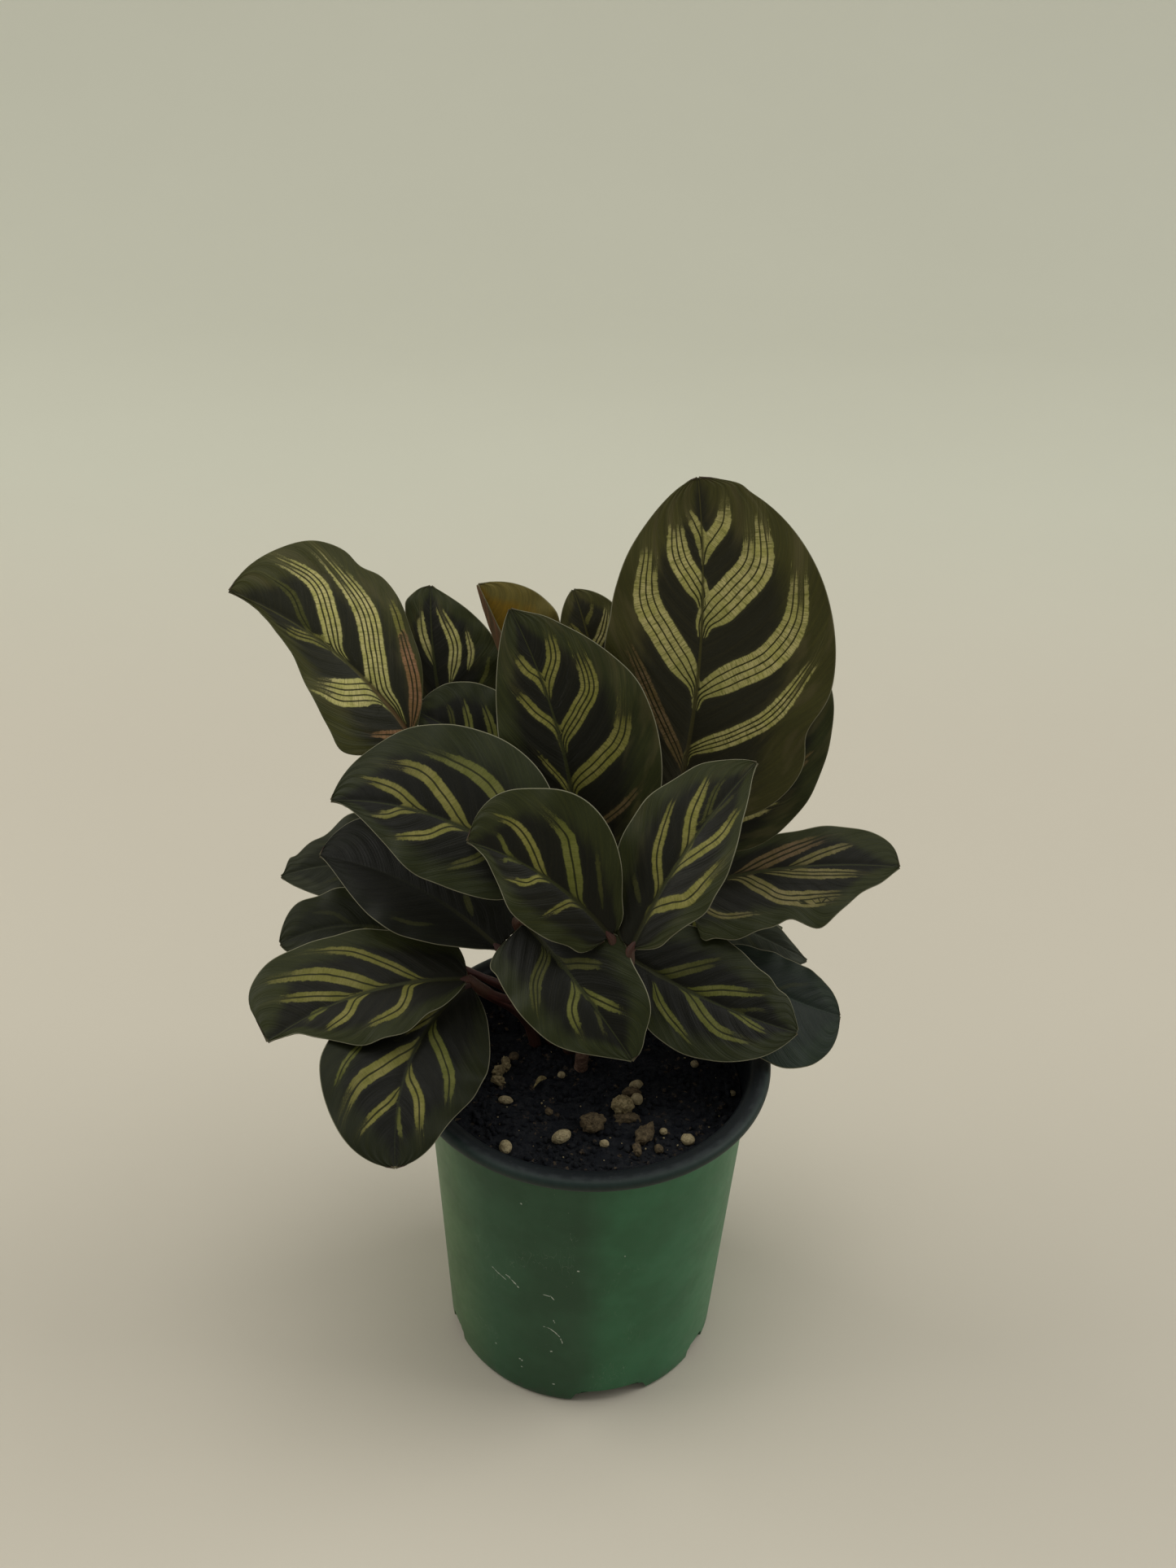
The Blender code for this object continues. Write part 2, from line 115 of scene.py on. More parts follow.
# Feathers of the pattern: side (+ left, - right), path of (u, s) points from the
# midrib outward, greatest width in mm, number of dark veins, tone, strength.
# u runs base to tip and s midrib to margin.
CREAM, STRAW, LIME, OLIVE, ROSE, SALMON, TAN = "cream", "straw", "lime", "olive", "rose", "salmon", "tan"
BANDS = {
    "tall_right": [
        (1, ((.15, .05), (.33, .45), (.56, .84)), 4.0, 2, ROSE, .9),
        (1, ((.42, .07), (.55, .38), (.66, .62), (.80, .74)), 8.8, 3, CREAM, 1),
        (1, ((.68, .04), (.78, .30), (.89, .50)), 7.0, 3, CREAM, 1),
        (1, ((.84, .03), (.91, .26)), 3.6, 1, CREAM, .85),
        (-1, ((.20, .04), (.27, .35), (.35, .60), (.50, .84)), 5.6, 3, CREAM, 1),
        (-1, ((.38, .04), (.44, .25), (.50, .50), (.60, .70), (.74, .84)), 8.6, 3, CREAM, 1),
        (-1, ((.60, .04), (.68, .25), (.76, .48), (.89, .72)), 11.0, 4, CREAM, 1),
        (-1, ((.81, .05), (.87, .25), (.94, .46)), 5.0, 1, CREAM, .9)],
    "top_left": [
        (1, ((.26, .10), (.34, .45), (.45, .78)), 9.5, 4, CREAM, 1),
        (1, ((.02, .12), (.07, .42), (.12, .62)), 3.0, 1, SALMON, .9),
        (1, ((.58, .04), (.66, .28), (.74, .50)), 3.6, 2, STRAW, .8),
        (-1, ((.03, .40), (.14, .72), (.28, .72), (.38, .78)), 4.4, 2, SALMON, 1),
        (-1, ((.30, .72), (.38, .78), (.46, .84)), 3.0, 1, STRAW, .9),
        (-1, ((.14, .08), (.25, .08), (.38, .32), (.52, .56), (.76, .86)), 7.4, 4, CREAM, 1),
        (-1, ((.50, .05), (.60, .25), (.72, .50), (.90, .80)), 6.0, 3, CREAM, 1),
        (-1, ((.69, .10), (.78, .28), (.90, .46)), 2.6, 1, OLIVE, 1)],
    "rear_left": [
        (1, ((.54, .12), (.68, .32), (.86, .44)), 2.8, 1, CREAM, .74),
        (-1, ((.33, .22), (.58, .36), (.84, .26)), 4.2, 2, CREAM, .80),
        (-1, ((.40, .50), (.52, .58), (.66, .62)), 2.2, 1, CREAM, .66),
        (-1, ((.24, .62), (.36, .76), (.48, .84)), 1.4, 0, LIME, .7)],
    "tucked_left": [
        (-1, ((.33, .10), (.42, .38), (.55, .66)), 3.0, 1, LIME, .85),
        (-1, ((.52, .05), (.60, .30), (.70, .58)), 2.6, 1, LIME, .95),
        (-1, ((.67, .06), (.74, .28), (.82, .48)), 1.8, 1, OLIVE, .8),
        (1, ((.30, .06), (.38, .35), (.48, .60)), 3.0, 1, OLIVE, .8)],
    "centre_upright": [
        (1, ((.30, .12), (.36, .26), (.44, .44)), 1.8, 1, STRAW, .85),
        (1, ((.52, .05), (.60, .30), (.74, .70)), 3.1, 1, STRAW, 1),
        (1, ((.71, .03), (.76, .22), (.86, .54)), 3.4, 1, STRAW, 1),
        (-1, ((.10, .20), (.17, .55), (.25, .80)), 2.4, 1, ROSE, .6),
        (-1, ((.28, .06), (.35, .35), (.43, .62), (.58, .84)), 5.8, 2, STRAW, 1),
        (-1, ((.47, .05), (.55, .28), (.63, .52), (.80, .80)), 5.6, 3, STRAW, 1),
        (-1, ((.69, .06), (.77, .32), (.88, .70)), 4.4, 2, STRAW, .95)],
    "broad_left": [
        (1, ((.20, .14), (.26, .45), (.36, .76)), 3.2, 1, OLIVE, .9),
        (1, ((.42, .08), (.50, .36), (.64, .68)), 3.2, 1, STRAW, .95),
        (1, ((.65, .06), (.71, .28), (.80, .56)), 2.9, 1, STRAW, .8),
        (-1, ((.12, .06), (.26, .42), (.40, .56), (.64, .70)), 5.0, 1, LIME, .85),
        (-1, ((.37, .04), (.50, .25), (.62, .44), (.80, .62)), 4.6, 1, STRAW, .92),
        (-1, ((.60, .04), (.71, .20), (.86, .42)), 3.6, 1, STRAW, .88)],
    "front_right": [
        (1, ((.18, .22), (.22, .38), (.29, .58)), 1.6, 0, OLIVE, .5),
        (1, ((.30, .09), (.42, .36), (.62, .62)), 3.0, 1, STRAW, .95),
        (1, ((.52, .04), (.64, .26), (.80, .56)), 3.7, 1, STRAW, 1),
        (1, ((.67, .06), (.78, .24), (.88, .42)), 1.9, 1, OLIVE, .8),
        (-1, ((.19, .05), (.26, .35), (.33, .62), (.54, .80)), 4.3, 1, STRAW, 1),
        (-1, ((.42, .06), (.54, .30), (.63, .50), (.76, .64)), 3.7, 1, STRAW, 1),
        (-1, ((.70, .05), (.78, .18), (.86, .30)), 1.2, 0, OLIVE, .5)],
    "front_left": [
        (1, ((.28, .08), (.32, .32), (.36, .64)), 2.3, 1, STRAW, .7),
        (1, ((.52, .09), (.57, .33), (.68, .58)), 2.3, 1, STRAW, 1),
        (1, ((.72, .05), (.75, .20), (.79, .36)), 1.2, 0, LIME, .7),
        (-1, ((.28, .07), (.42, .35), (.52, .54), (.70, .70)), 4.3, 1, LIME, 1),
        (-1, ((.53, .04), (.66, .25), (.76, .40), (.88, .54)), 3.2, 1, STRAW, 1),
        (-1, ((.75, .04), (.81, .18), (.88, .30)), 1.4, 0, LIME, .8),
        (-1, ((.14, .34), (.26, .52), (.40, .74)), 1.2, 0, OLIVE, .7)],
    "far_right": [
        (1, ((.30, .12), (.46, .40), (.68, .72)), 4.9, 2, ROSE, .8),
        (1, ((.55, .12), (.66, .32), (.80, .56)), 3.0, 1, TAN, .8),
        (-1, ((.02, .30), (.12, .68), (.30, .74)), 2.2, 1, TAN, .65),
        (-1, ((.26, .06), (.34, .30), (.44, .54), (.68, .66)), 5.4, 2, TAN, .9),
        (-1, ((.40, .48), (.50, .66), (.68, .80)), 2.6, 1, TAN, .85),
        (-1, ((.42, .05), (.58, .16), (.84, .36)), 4.0, 2, TAN, .85)],
    "low_right_inner": [
        (-1, ((.40, .05), (.52, .40), (.70, .70)), 1.4, 0, OLIVE, .25)],
    "low_right_outer": [
        (-1, ((.30, .05), (.42, .40), (.62, .72)), 1.6, 0, OLIVE, .22),
        (1, ((.45, .05), (.56, .35), (.72, .60)), 1.4, 0, OLIVE, .22)],
    "lower_right": [
        (1, ((.20, .04), (.32, .32), (.47, .68)), 3.9, 1, OLIVE, 1),
        (1, ((.40, .04), (.55, .26), (.76, .62)), 3.5, 1, LIME, .85),
        (1, ((.66, .05), (.75, .22), (.84, .38)), 1.3, 0, OLIVE, .5),
        (-1, ((.18, .22), (.28, .50), (.48, .74)), 3.0, 1, LIME, .9),
        (-1, ((.38, .06), (.50, .28), (.60, .42), (.76, .52)), 4.0, 1, LIME, .9),
        (-1, ((.66, .03), (.74, .13), (.85, .30)), 2.5, 1, LIME, .85)],
    "lower_centre": [
        (1, ((.35, .07), (.41, .35), (.52, .68)), 3.5, 1, OLIVE, .85),
        (1, ((.58, .05), (.67, .20), (.79, .46)), 3.0, 1, LIME, .82),
        (-1, ((.25, .14), (.33, .50), (.48, .80)), 4.0, 2, OLIVE, 1),
        (-1, ((.52, .12), (.60, .38), (.76, .70)), 3.1, 1, LIME, .82),
        (-1, ((.70, .05), (.75, .14), (.82, .26)), 1.2, 0, OLIVE, .6)],
    "lower_left": [
        (1, ((.27, .08), (.30, .35), (.36, .55), (.52, .70)), 3.6, 1, STRAW, .95),
        (1, ((.54, .08), (.60, .35), (.72, .66)), 3.8, 1, STRAW, 1),
        (1, ((.75, .03), (.77, .12), (.81, .24)), 2.0, 0, LIME, .9),
        (-1, ((.24, .08), (.40, .45), (.52, .68), (.70, .88)), 3.0, 1, STRAW, .9),
        (-1, ((.44, .06), (.58, .33), (.68, .50), (.86, .76)), 4.6, 1, STRAW, .92),
        (-1, ((.60, .06), (.75, .25), (.90, .50)), 3.2, 1, STRAW, .88)],
    "hanging_left": [
        (1, ((.33, .11), (.42, .35), (.54, .56), (.70, .70)), 4.0, 1, LIME, .95),
        (1, ((.59, .07), (.70, .28), (.88, .52)), 3.4, 1, STRAW, .95),
        (1, ((.79, .03), (.84, .08), (.91, .18)), 1.5, 0, LIME, .7),
        (-1, ((.22, .05), (.30, .12), (.42, .26)), 2.6, 1, STRAW, .7),
        (-1, ((.45, .05), (.57, .26), (.67, .50), (.80, .74)), 5.0, 1, STRAW, .92),
        (-1, ((.72, .10), (.79, .30), (.86, .58)), 2.9, 1, STRAW, .95),
        (-1, ((.50, .60), (.60, .70), (.70, .78)), 2.2, 1, LIME, .8)],
    "dark_left": [
        (1, ((.28, .50), (.38, .70), (.52, .82)), 1.4, 0, OLIVE, .35),
        (-1, ((.18, .25), (.23, .42), (.29, .58)), 2.2, 0, OLIVE, .5)],
    "rear_low_left": [
        (1, ((.45, .10), (.55, .35), (.70, .60)), 1.6, 0, OLIVE, .3),
        (-1, ((.45, .10), (.58, .40), (.75, .65)), 1.6, 0, OLIVE, .3)],
    "side_low_left": [
        (1, ((.34, .02), (.37, .10), (.41, .20)), 1.2, 0, STRAW, .6),
        (-1, ((.50, .10), (.60, .35), (.75, .60)), 1.4, 0, OLIVE, .25)],
    "young_rolled": [
        (-1, ((.30, .05), (.42, .40), (.60, .80)), 2.4, 0, LIME, .3),
        (-1, ((.55, .05), (.65, .35), (.80, .70)), 2.0, 0, LIME, .3)],
    "rear_centre": [
        (-1, ((.44, .12), (.56, .38), (.74, .72)), 3.4, 2, CREAM, .74),
        (-1, ((.70, .10), (.76, .28), (.84, .50)), 1.4, 0, STRAW, .6),
        (1, ((.50, .08), (.60, .35), (.72, .60)), 2.6, 1, STRAW, .9)],
    "right_rear": [
        (-1, ((.10, .02), (.20, .27), (.265, .45), (.33, .66)), 4.6, 2, CREAM, .78),
        (-1, ((.34, .25), (.44, .50), (.56, .74)), 2.8, 1, ROSE, .8),
        (-1, ((.55, .10), (.64, .40), (.80, .72)), 3.4, 1, STRAW, .95),
        (1, ((.22, .05), (.34, .38), (.54, .76)), 4.4, 2, STRAW, .95),
        (1, ((.45, .05), (.56, .36), (.74, .72)), 4.0, 2, STRAW, .95)],
}
FAR_BANDS = [(h, ((u, .05), (u + .09, .32), (u + .27, .72)), 4.2, 1 if u > .6 else 2, LIME, 1)
             for h in (1, -1) for u in (.18, .40, .62)]
for far in ("far_side_right", "far_side_left", "far_side_low_right", "far_side_low_left"):
    BANDS[far] = FAR_BANDS

# small departures of the margin: side, where, spread, extra width, rise
EDGES = {
    "top_left": [(-1, .36, .16, -2.2, 0), (-1, .62, .06, -2.6, 0), (-1, .82, .08, .6, 0),
                 (1, .13, .11, 2.9, 0), (1, .62, .10, -1.0, 0)],
    "far_right": [(-1, .43, .06, -1.8, .8), (-1, .58, .07, 2.4, -.8), (-1, .80, .08, -1.8, .4), (1, .55, .10, -.6, .6),
                  (-1, .16, .10, 2.2, 0), (-1, 0, .05, 3.0, 0)],
    "lower_left": [(1, .86, .05, -1.0, .5), (1, .60, .10, 1.2, -.6), (1, .20, .07, -1.4, .6), (-1, .55, .10, -.6, .8),
                   (-1, .05, .07, 3.0, 0)],
    "tall_right": [(1, .80, .08, .5, 0), (-1, .31, .075, -4.2, .9), (-1, .975, .018, 1.6, 0), (1, .60, .05, -.5, 0)],
    "front_right": [(-1, .30, .07, .8, -.6), (-1, .72, .08, -.6, .6), (1, .85, .06, .8, 0), (1, .02, .06, 4.5, 0),
                    (-1, .06, .05, 1.5, 0)],
    "front_left": [(1, .55, .08, .6, .5), (1, .85, .06, -.6, .3), (-1, .02, .07, 2.6, 0), (1, .02, .07, 2.8, 0),
                   (-1, .76, .15, -2.0, 0)],
    "lower_centre": [(1, .93, .06, -1.8, .5), (-1, .72, .16, 1.4, .4), (-1, .06, .05, 1.6, 0), (1, .42, .13, 4.6, 0)],
    "low_right_outer": [(1, .40, .10, .6, -.8), (-1, .6, .1, .5, .6), (1, .75, .05, -.8, .4)],
    "lower_right": [(-1, .62, .20, -1.2, .4), (1, .92, .075, 3.6, 0), (1, .78, .06, .9, .4)],
    "dark_left": [(-1, .11, .10, 7.4, 0), (-1, .01, .04, 6.5, 0), (1, .45, .10, .5, .6)],
    "rear_left": [(1, .90, .05, .8, .6)],
    "hanging_left": [(-1, .60, .06, .5, .5), (-1, .80, .14, -1.7, .3), (1, .80, .14, -2.2, 0), (1, .55, .08, -.4, .5)],
    "broad_left": [(-1, .70, .08, .6, .6), (1, .50, .09, .5, -.4)],
    "centre_upright": [(-1, .60, .08, .6, .5), (-1, .92, .04, .6, 0)],
    "rear_low_left": [(1, .60, .10, .7, .8), (-1, .70, .08, -2.6, 0), (-1, .93, .035, 2.0, 0)],
    "side_low_left": [(-1, .86, .12, 3.0, 0), (1, .60, .08, .4, .6)],
}

# leaf colours: blotch between feathers, outer zone
# painted light and shade: sunlit, upper, middle, lower and shade are one leaf colour at stepped brightness, lighter for
# the top leaves and darker as painted shade for the low and hanging ones
TINTS = {
    # the amber of the young leaf is partly its own colour and partly painted light shining through it
    "young": ((.170, .106, .012), (.130, .106, .027)),
    "sunlit": ((.0230, .0225, .0125), (.0530, .0520, .0150)),
    "upper": ((.0165, .0170, .0085), (.0430, .0445, .0120)),
    "middle": ((.0096, .0098, .0058), (.0262, .0305, .0092)),
    "lower": ((.0066, .0070, .0042), (.0205, .0250, .0080)),
    "shade": ((.0062, .0066, .0040), (.0135, .0162, .0056)),
    "plain": ((.0052, .0056, .0030), (.0068, .0080, .0036)),
    # blue, pale and dusky carry a painted sheen: grey-blue and pale highlights laid into the colour of the low right
    # and rear low leaves
    "blue": ((.0118, .0185, .0135), (.0170, .0268, .0178)),
    "olive": ((.0080, .0100, .0026), (.0140, .0170, .0040)),
    "dusky": ((.0135, .0160, .0070), (.0270, .0310, .0150)),
    "pale": ((.0400, .0470, .0320), (.0640, .0740, .0520)),
}
# each leaf's tint, which sets how much painted light or shade its colour carries
LEAF_TINT = {
    "tall_right": "sunlit", "top_left": "upper", "right_rear": "middle", "rear_left": "middle",
    "rear_centre": "sunlit", "young_rolled": "young", "far_right": "middle", "front_right": "middle",
    "centre_upright": "middle", "broad_left": "lower", "front_left": "middle", "tucked_left": "lower",
    "lower_centre": "lower", "lower_right": "lower", "lower_left": "middle", "hanging_left": "shade",
    "dark_left": "plain", "rear_low_left": "dusky", "side_low_left": "olive",
    "low_right_outer": "blue", "low_right_inner": "pale",
    "far_side_right": "middle", "far_side_left": "middle",
    "far_side_low_right": "lower", "far_side_low_left": "lower",
}
TONES = {
    CREAM: (.540, .485, .205), STRAW: (.232, .212, .062), LIME: (.155, .157, .041), OLIVE: (.076, .076, .022),
    ROSE: (.200, .135, .070), SALMON: (.315, .170, .092), TAN: (.235, .200, .085),
}

POT_HEIGHT, POT_BASE_R, POT_TOP_R, LIP_R, LIP_DEPTH, WALL = 108.5, 43.2, 49.0, 54.7, 3.3, 1.3
NOTCHES = ((-76.5, 40.0), (-30.0, 17.0), (-157.0, 17.0), (103.0, 32.0), (150.0, 17.0), (23.0, 17.0))
SOIL_TOP, SOIL_EDGE, PLATEAU_R = 96.0, 94.4, 30.0


# ------------------------------------------------------------------ numeric help
def smooth(a, b, x):
    t = np.clip((np.asarray(x, float) - a) / (b - a), 0, 1)
    return t * t * (3 - 2 * t)


def heading(azimuth, elevation):
    a, e = math.radians(azimuth), math.radians(elevation)
    return np.array((math.cos(e) * math.cos(a), math.cos(e) * math.sin(a), math.sin(e)))


def unit(v):
    v = np.asarray(v, float)
    return v / np.maximum(np.linalg.norm(v, axis=-1, keepdims=True), 1e-12)


def hash3(ix, iy, iz, seed):
    n = (ix * 374761393 + iy * 668265263 + iz * 1274126177 + seed * 974634777) & 0x7FFFFFFF
    n = ((n ^ (n >> 13)) * 1274126177) & 0x7FFFFFFF
    return ((n ^ (n >> 16)) & 0xFFFF) / 65535.0


def value_noise(p, seed=0):
    """Smooth noise, 0 to 1, at points p (n, 3)."""
    p = np.asarray(p, float)
    i = np.floor(p).astype(np.int64)
    f = p - i
    f = f * f * (3 - 2 * f)
    out = 0
    for dx in (0, 1):
        for dy in (0, 1):
            for dz in (0, 1):
                w = ((f[:, 0] if dx else 1 - f[:, 0]) * (f[:, 1] if dy else 1 - f[:, 1])
                     * (f[:, 2] if dz else 1 - f[:, 2]))
                out = out + w * hash3(i[:, 0] + dx, i[:, 1] + dy, i[:, 2] + dz, seed)
    return out


def fractal(p, octaves=3, seed=0):
    p = np.asarray(p, float)
    total, scale, amp = 0, 1.0, 0.5
    for k in range(octaves):
        total = total + amp * value_noise(p * scale, seed + 17 * k)
        scale *= 2.1
        amp *= 0.5
    return total


# ------------------------------------------------------------------ node help
class Graph:
    """Short names for building a material's nodes."""

    def __init__(self, name):
        self.mat = bpy.data.materials.new(name)
        self.mat.use_nodes = True
        self.tree = self.mat.node_tree
        self.bsdf = self.tree.nodes["Principled BSDF"]
        self.column = 0

    def node(self, kind):
        n = self.tree.nodes.new(kind)
        self.column += 1
        n.location = (-260 * (1 + self.column // 6), -180 * (self.column % 6))
        return n

    def put(self, socket, value):
        if isinstance(value, bpy.types.NodeSocket):
            self.tree.links.new(value, socket)
        elif value is not None:
            if isinstance(value, (tuple, list)) and len(value) == 3 and socket.type == "RGBA":
                value = (*value, 1.0)
            socket.default_value = value

    def attr(self, name, out="Fac"):
        n = self.node("ShaderNodeAttribute")
        n.attribute_name = name
        return n.outputs[out]

    def math(self, op, a, b=None, c=None, clamp=False):
        n = self.node("ShaderNodeMath")
        n.operation = op
        n.use_clamp = clamp
        for i, v in enumerate((a, b, c)):
            if v is not None:
                self.put(n.inputs[i], v)
        return n.outputs[0]

    def step(self, value, low, high, out_low=0.0, out_high=1.0, kind="SMOOTHSTEP"):
        n = self.node("ShaderNodeMapRange")
        n.interpolation_type = kind
        self.put(n.inputs["Value"], value)
        self.put(n.inputs["From Min"], low)
        self.put(n.inputs["From Max"], high)
        self.put(n.inputs["To Min"], out_low)
        self.put(n.inputs["To Max"], out_high)
        return n.outputs[0]

    def vec(self, x=0.0, y=0.0, z=0.0):
        n = self.node("ShaderNodeCombineXYZ")
        for i, v in enumerate((x, y, z)):
            self.put(n.inputs[i], v)
        return n.outputs[0]

    def noise(self, vector, scale, detail=2.0, rough=0.5):
        n = self.node("ShaderNodeTexNoise")
        self.put(n.inputs["Vector"], vector)
        self.put(n.inputs["Scale"], scale)
        self.put(n.inputs["Detail"], detail)
        self.put(n.inputs["Roughness"], rough)
        return n.outputs["Fac"]

    def voronoi(self, vector, scale, feature="F1", out="Distance"):
        n = self.node("ShaderNodeTexVoronoi")
        n.feature = feature
        self.put(n.inputs["Vector"], vector)
        self.put(n.inputs["Scale"], scale)
        return n.outputs[out]

    def mix(self, fac, a, b, blend="MIX"):
        n = self.node("ShaderNodeMix")
        n.data_type = "RGBA"
        n.blend_type = blend
        self.put(n.inputs[0], fac)
        self.put(n.inputs[6], a)
        self.put(n.inputs[7], b)
        return n.outputs[2]

    def place(self, scale=(1, 1, 1)):
        """Position on the object, in millimetres."""
        t = self.node("ShaderNodeTexCoord")
        m = self.node("ShaderNodeMapping")
        m.inputs["Scale"].default_value = [1000 * s for s in scale]
        self.tree.links.new(t.outputs["Object"], m.inputs["Vector"])
        return m.outputs["Vector"]

    def split(self, vector):
        n = self.node("ShaderNodeSeparateXYZ")
        self.put(n.inputs[0], vector)
        return n.outputs

    def bump(self, height, distance, strength=1.0, normal=None):
        n = self.node("ShaderNodeBump")
        self.put(n.inputs["Height"], height)
        n.inputs["Distance"].default_value = distance
        n.inputs["Strength"].default_value = strength
        if normal is not None:
            self.put(n.inputs["Normal"], normal)
        return n.outputs["Normal"]

    def surface(self, colour=None, roughness=None, normal=None, specular=None, coat=None, coat_rough=None):
        b = self.bsdf.inputs
        self.put(b["Base Color"], colour)
        self.put(b["Roughness"], roughness)
        self.put(b["Normal"], normal)
        if specular is not None:
            b["Specular IOR Level"].default_value = specular
        if coat is not None:
            b["Coat Weight"].default_value = coat
        if coat_rough is not None:
            b["Coat Roughness"].default_value = coat_rough
        return self.mat


# ------------------------------------------------------------------ materials
def leaf_face_material():
    g = Graph("leaf_face")
    pd, pv, pw, pa, pe = (g.attr(k) for k in ("pd", "pv", "pw", "pa", "pe"))
    nl, ps, pb, seed = g.attr("nl"), g.attr("ps"), g.attr("pb"), g.attr("seed")
    lat, mid, edge, side, ux = g.attr("lat"), g.attr("mid"), g.attr("edge"), g.attr("side"), g.attr("ux")
    tone, deep, outer = g.attr("tone", "Vector"), g.attr("deep", "Vector"), g.attr("outer", "Vector")

    # place inside the feather: which strip between dark veins
    n1 = g.math("ADD", nl, 1.0)
    wobble = g.math("MULTIPLY", g.math("SUBTRACT", g.noise(g.vec(pa, 0.0, seed), .22, 2.0), .5), .24)
    k = g.math("MULTIPLY", g.math("MULTIPLY_ADD", g.math("DIVIDE", pv, pw), .5, .5), n1)
    k = g.math("ADD", k, wobble)
    near = g.math("ROUND", k)
    off = g.math("ABSOLUTE", g.math("SUBTRACT", k, near))
    off = g.math("DIVIDE", g.math("MULTIPLY", g.math("MULTIPLY", off, 2.0), pw), n1)
    thick = g.math("MULTIPLY_ADD", g.noise(g.vec(pa, pv, seed), .5, 2.0), .22, .11)
    thick = g.math("MULTIPLY", thick, g.step(pw, .4, 1.6, .45, 1.0))
    thick = g.math("MULTIPLY", thick, g.math("MULTIPLY_ADD", g.attr("comb"), -.50, 1.50))
    vein = g.step(off, g.math("MULTIPLY", thick, .45), g.math("ADD", thick, .10), 1.0, 0.0)
    real = g.math("MULTIPLY", g.step(near, .4, .6, kind="LINEAR"),
                  g.step(g.math("SUBTRACT", nl, near), -.6, -.4, kind="LINEAR"))
    vein = g.math("MULTIPLY", vein, real)

    # feather edges: nearly clean at the sides, each strip ending at its own length
    along = g.vec(pa, g.math("MULTIPLY", pv, .35), seed)
    ragged = g.noise(along, .9, 3.0, .6)
    d = g.math("MULTIPLY_ADD", g.math("SUBTRACT", ragged, .5), g.step(pe, .35, .95, .55, 1.5), pd)
    body = g.step(d, -.16, .20)
    strip = g.node("ShaderNodeTexWhiteNoise")
    strip.noise_dimensions = "3D"
    g.put(strip.inputs["Vector"], g.vec(g.math("FLOOR", k), pb, seed))
    finger = g.noise(g.vec(g.math("MULTIPLY", pv, 3.2), pb, seed), 1.0, 2.0, .6)
    reach = g.math("MULTIPLY_ADD", strip.outputs["Value"], -.26, 1.04)
    reach = g.math("MULTIPLY_ADD", g.math("SUBTRACT", finger, .5), .22, reach)
    ended = g.step(g.math("SUBTRACT", pe, reach), -.035, .02, 1.0, 0.0)
    fade = g.step(g.math("SUBTRACT", pe, reach), -.26, .02, 1.0, .62)
    mask = g.math("MULTIPLY", g.math("MULTIPLY", g.math("MULTIPLY", body, ended), fade), ps)
    ghost = g.math("MULTIPLY", g.step(pd, -1.0, .8), g.step(pe, .92, 1.28, .20, 0.0))
    ghost = g.math("MULTIPLY", g.math("MULTIPLY", ghost, g.step(finger, .38, .62)), ps)

    # fine cross lines
    cross = g.noise(g.vec(g.math("MULTIPLY", pa, 1.7), g.math("MULTIPLY", pv, .16), seed), 1.6, 2.0, .65)
    cross2 = g.noise(g.vec(g.math("MULTIPLY", pa, 3.3), g.math("MULTIPLY", pv, .30), seed), 1.6, 1.0, .5)
    lines = g.math("MULTIPLY", g.step(cross, .505, .575), g.math("MULTIPLY", g.attr("comb"), .60))
    lines = g.math("ADD", lines, g.math("MULTIPLY", g.step(cross2, .51, .62), g.math("MULTIPLY", g.attr("comb"), .34)))
    mottling = g.noise(g.vec(pa, pv, seed), .30, 2.0)
    feather = g.mix(g.step(mottling, .30, .72), tone, g.mix(1.0, tone, (.78, .82, .58), "MULTIPLY"))
    dim = g.step(pe, .08, .45, .55, 0.0)
    feather = g.mix(dim, feather, g.mix(1.0, tone, (.48, .52, .40), "MULTIPLY"))
    feather = g.mix(lines, feather, g.mix(1.0, tone, (.36, .40, .24), "MULTIPLY"))
    border = g.step(pd, .0, .40, .35, 0.0)
    feather = g.mix(border, feather, g.mix(1.0, tone, (.45, .55, .35), "MULTIPLY"))
    feather = g.mix(g.math("MULTIPLY", vein, .95), feather, (.014, .016, .003))

    # ground: near-black blotches, lighter outer zone with faint side veins
    zone = g.noise(g.vec(g.math("MULTIPLY", lat, .20), g.math("MULTIPLY", side, 1.8), seed), 1.0, 3.0, .6)
    outward = g.math("MULTIPLY_ADD", g.math("SUBTRACT", zone, .5), .40, side)
    outward = g.math("ADD", outward, g.step(ux, .70, .98, 0.0, .55))
    ground = g.mix(g.step(outward, .50, .82), deep, outer)
    streak = g.noise(g.vec(g.math("MULTIPLY", lat, .9), g.math("MULTIPLY", mid, .05), seed), 1.0, 2.0, .6)
    ground = g.mix(g.step(streak, .42, .70, 0.0, .40), ground, g.mix(1.0, ground, (1.6, 1.5, 1.2), "MULTIPLY"))
    grain = g.noise(g.vec(g.math("MULTIPLY", lat, 2.6), g.math("MULTIPLY", mid, 1.1), seed), 1.0, 2.0, .6)
    ground = g.mix(g.step(grain, .35, .72, 0.0, .25), ground, g.mix(1.0, ground, (.5, .52, .45), "MULTIPLY"))
    cloud = g.noise(g.vec(g.math("MULTIPLY", lat, .11), g.math("MULTIPLY", mid, .13), seed), 1.0, 2.0, .5)
    khaki = g.math("MULTIPLY", g.step(cloud, .50, .68), g.step(outward, .35, .80))
    khaki = g.math("MULTIPLY", khaki, g.step(g.attr("comb"), .45, 1.0, 0.0, .70, kind="LINEAR"))
    ground = g.mix(khaki, ground, (.085, .074, .030))
    ground = g.mix(ghost, ground, g.mix(.45, outer, tone))

    colour = g.mix(mask, ground, feather)
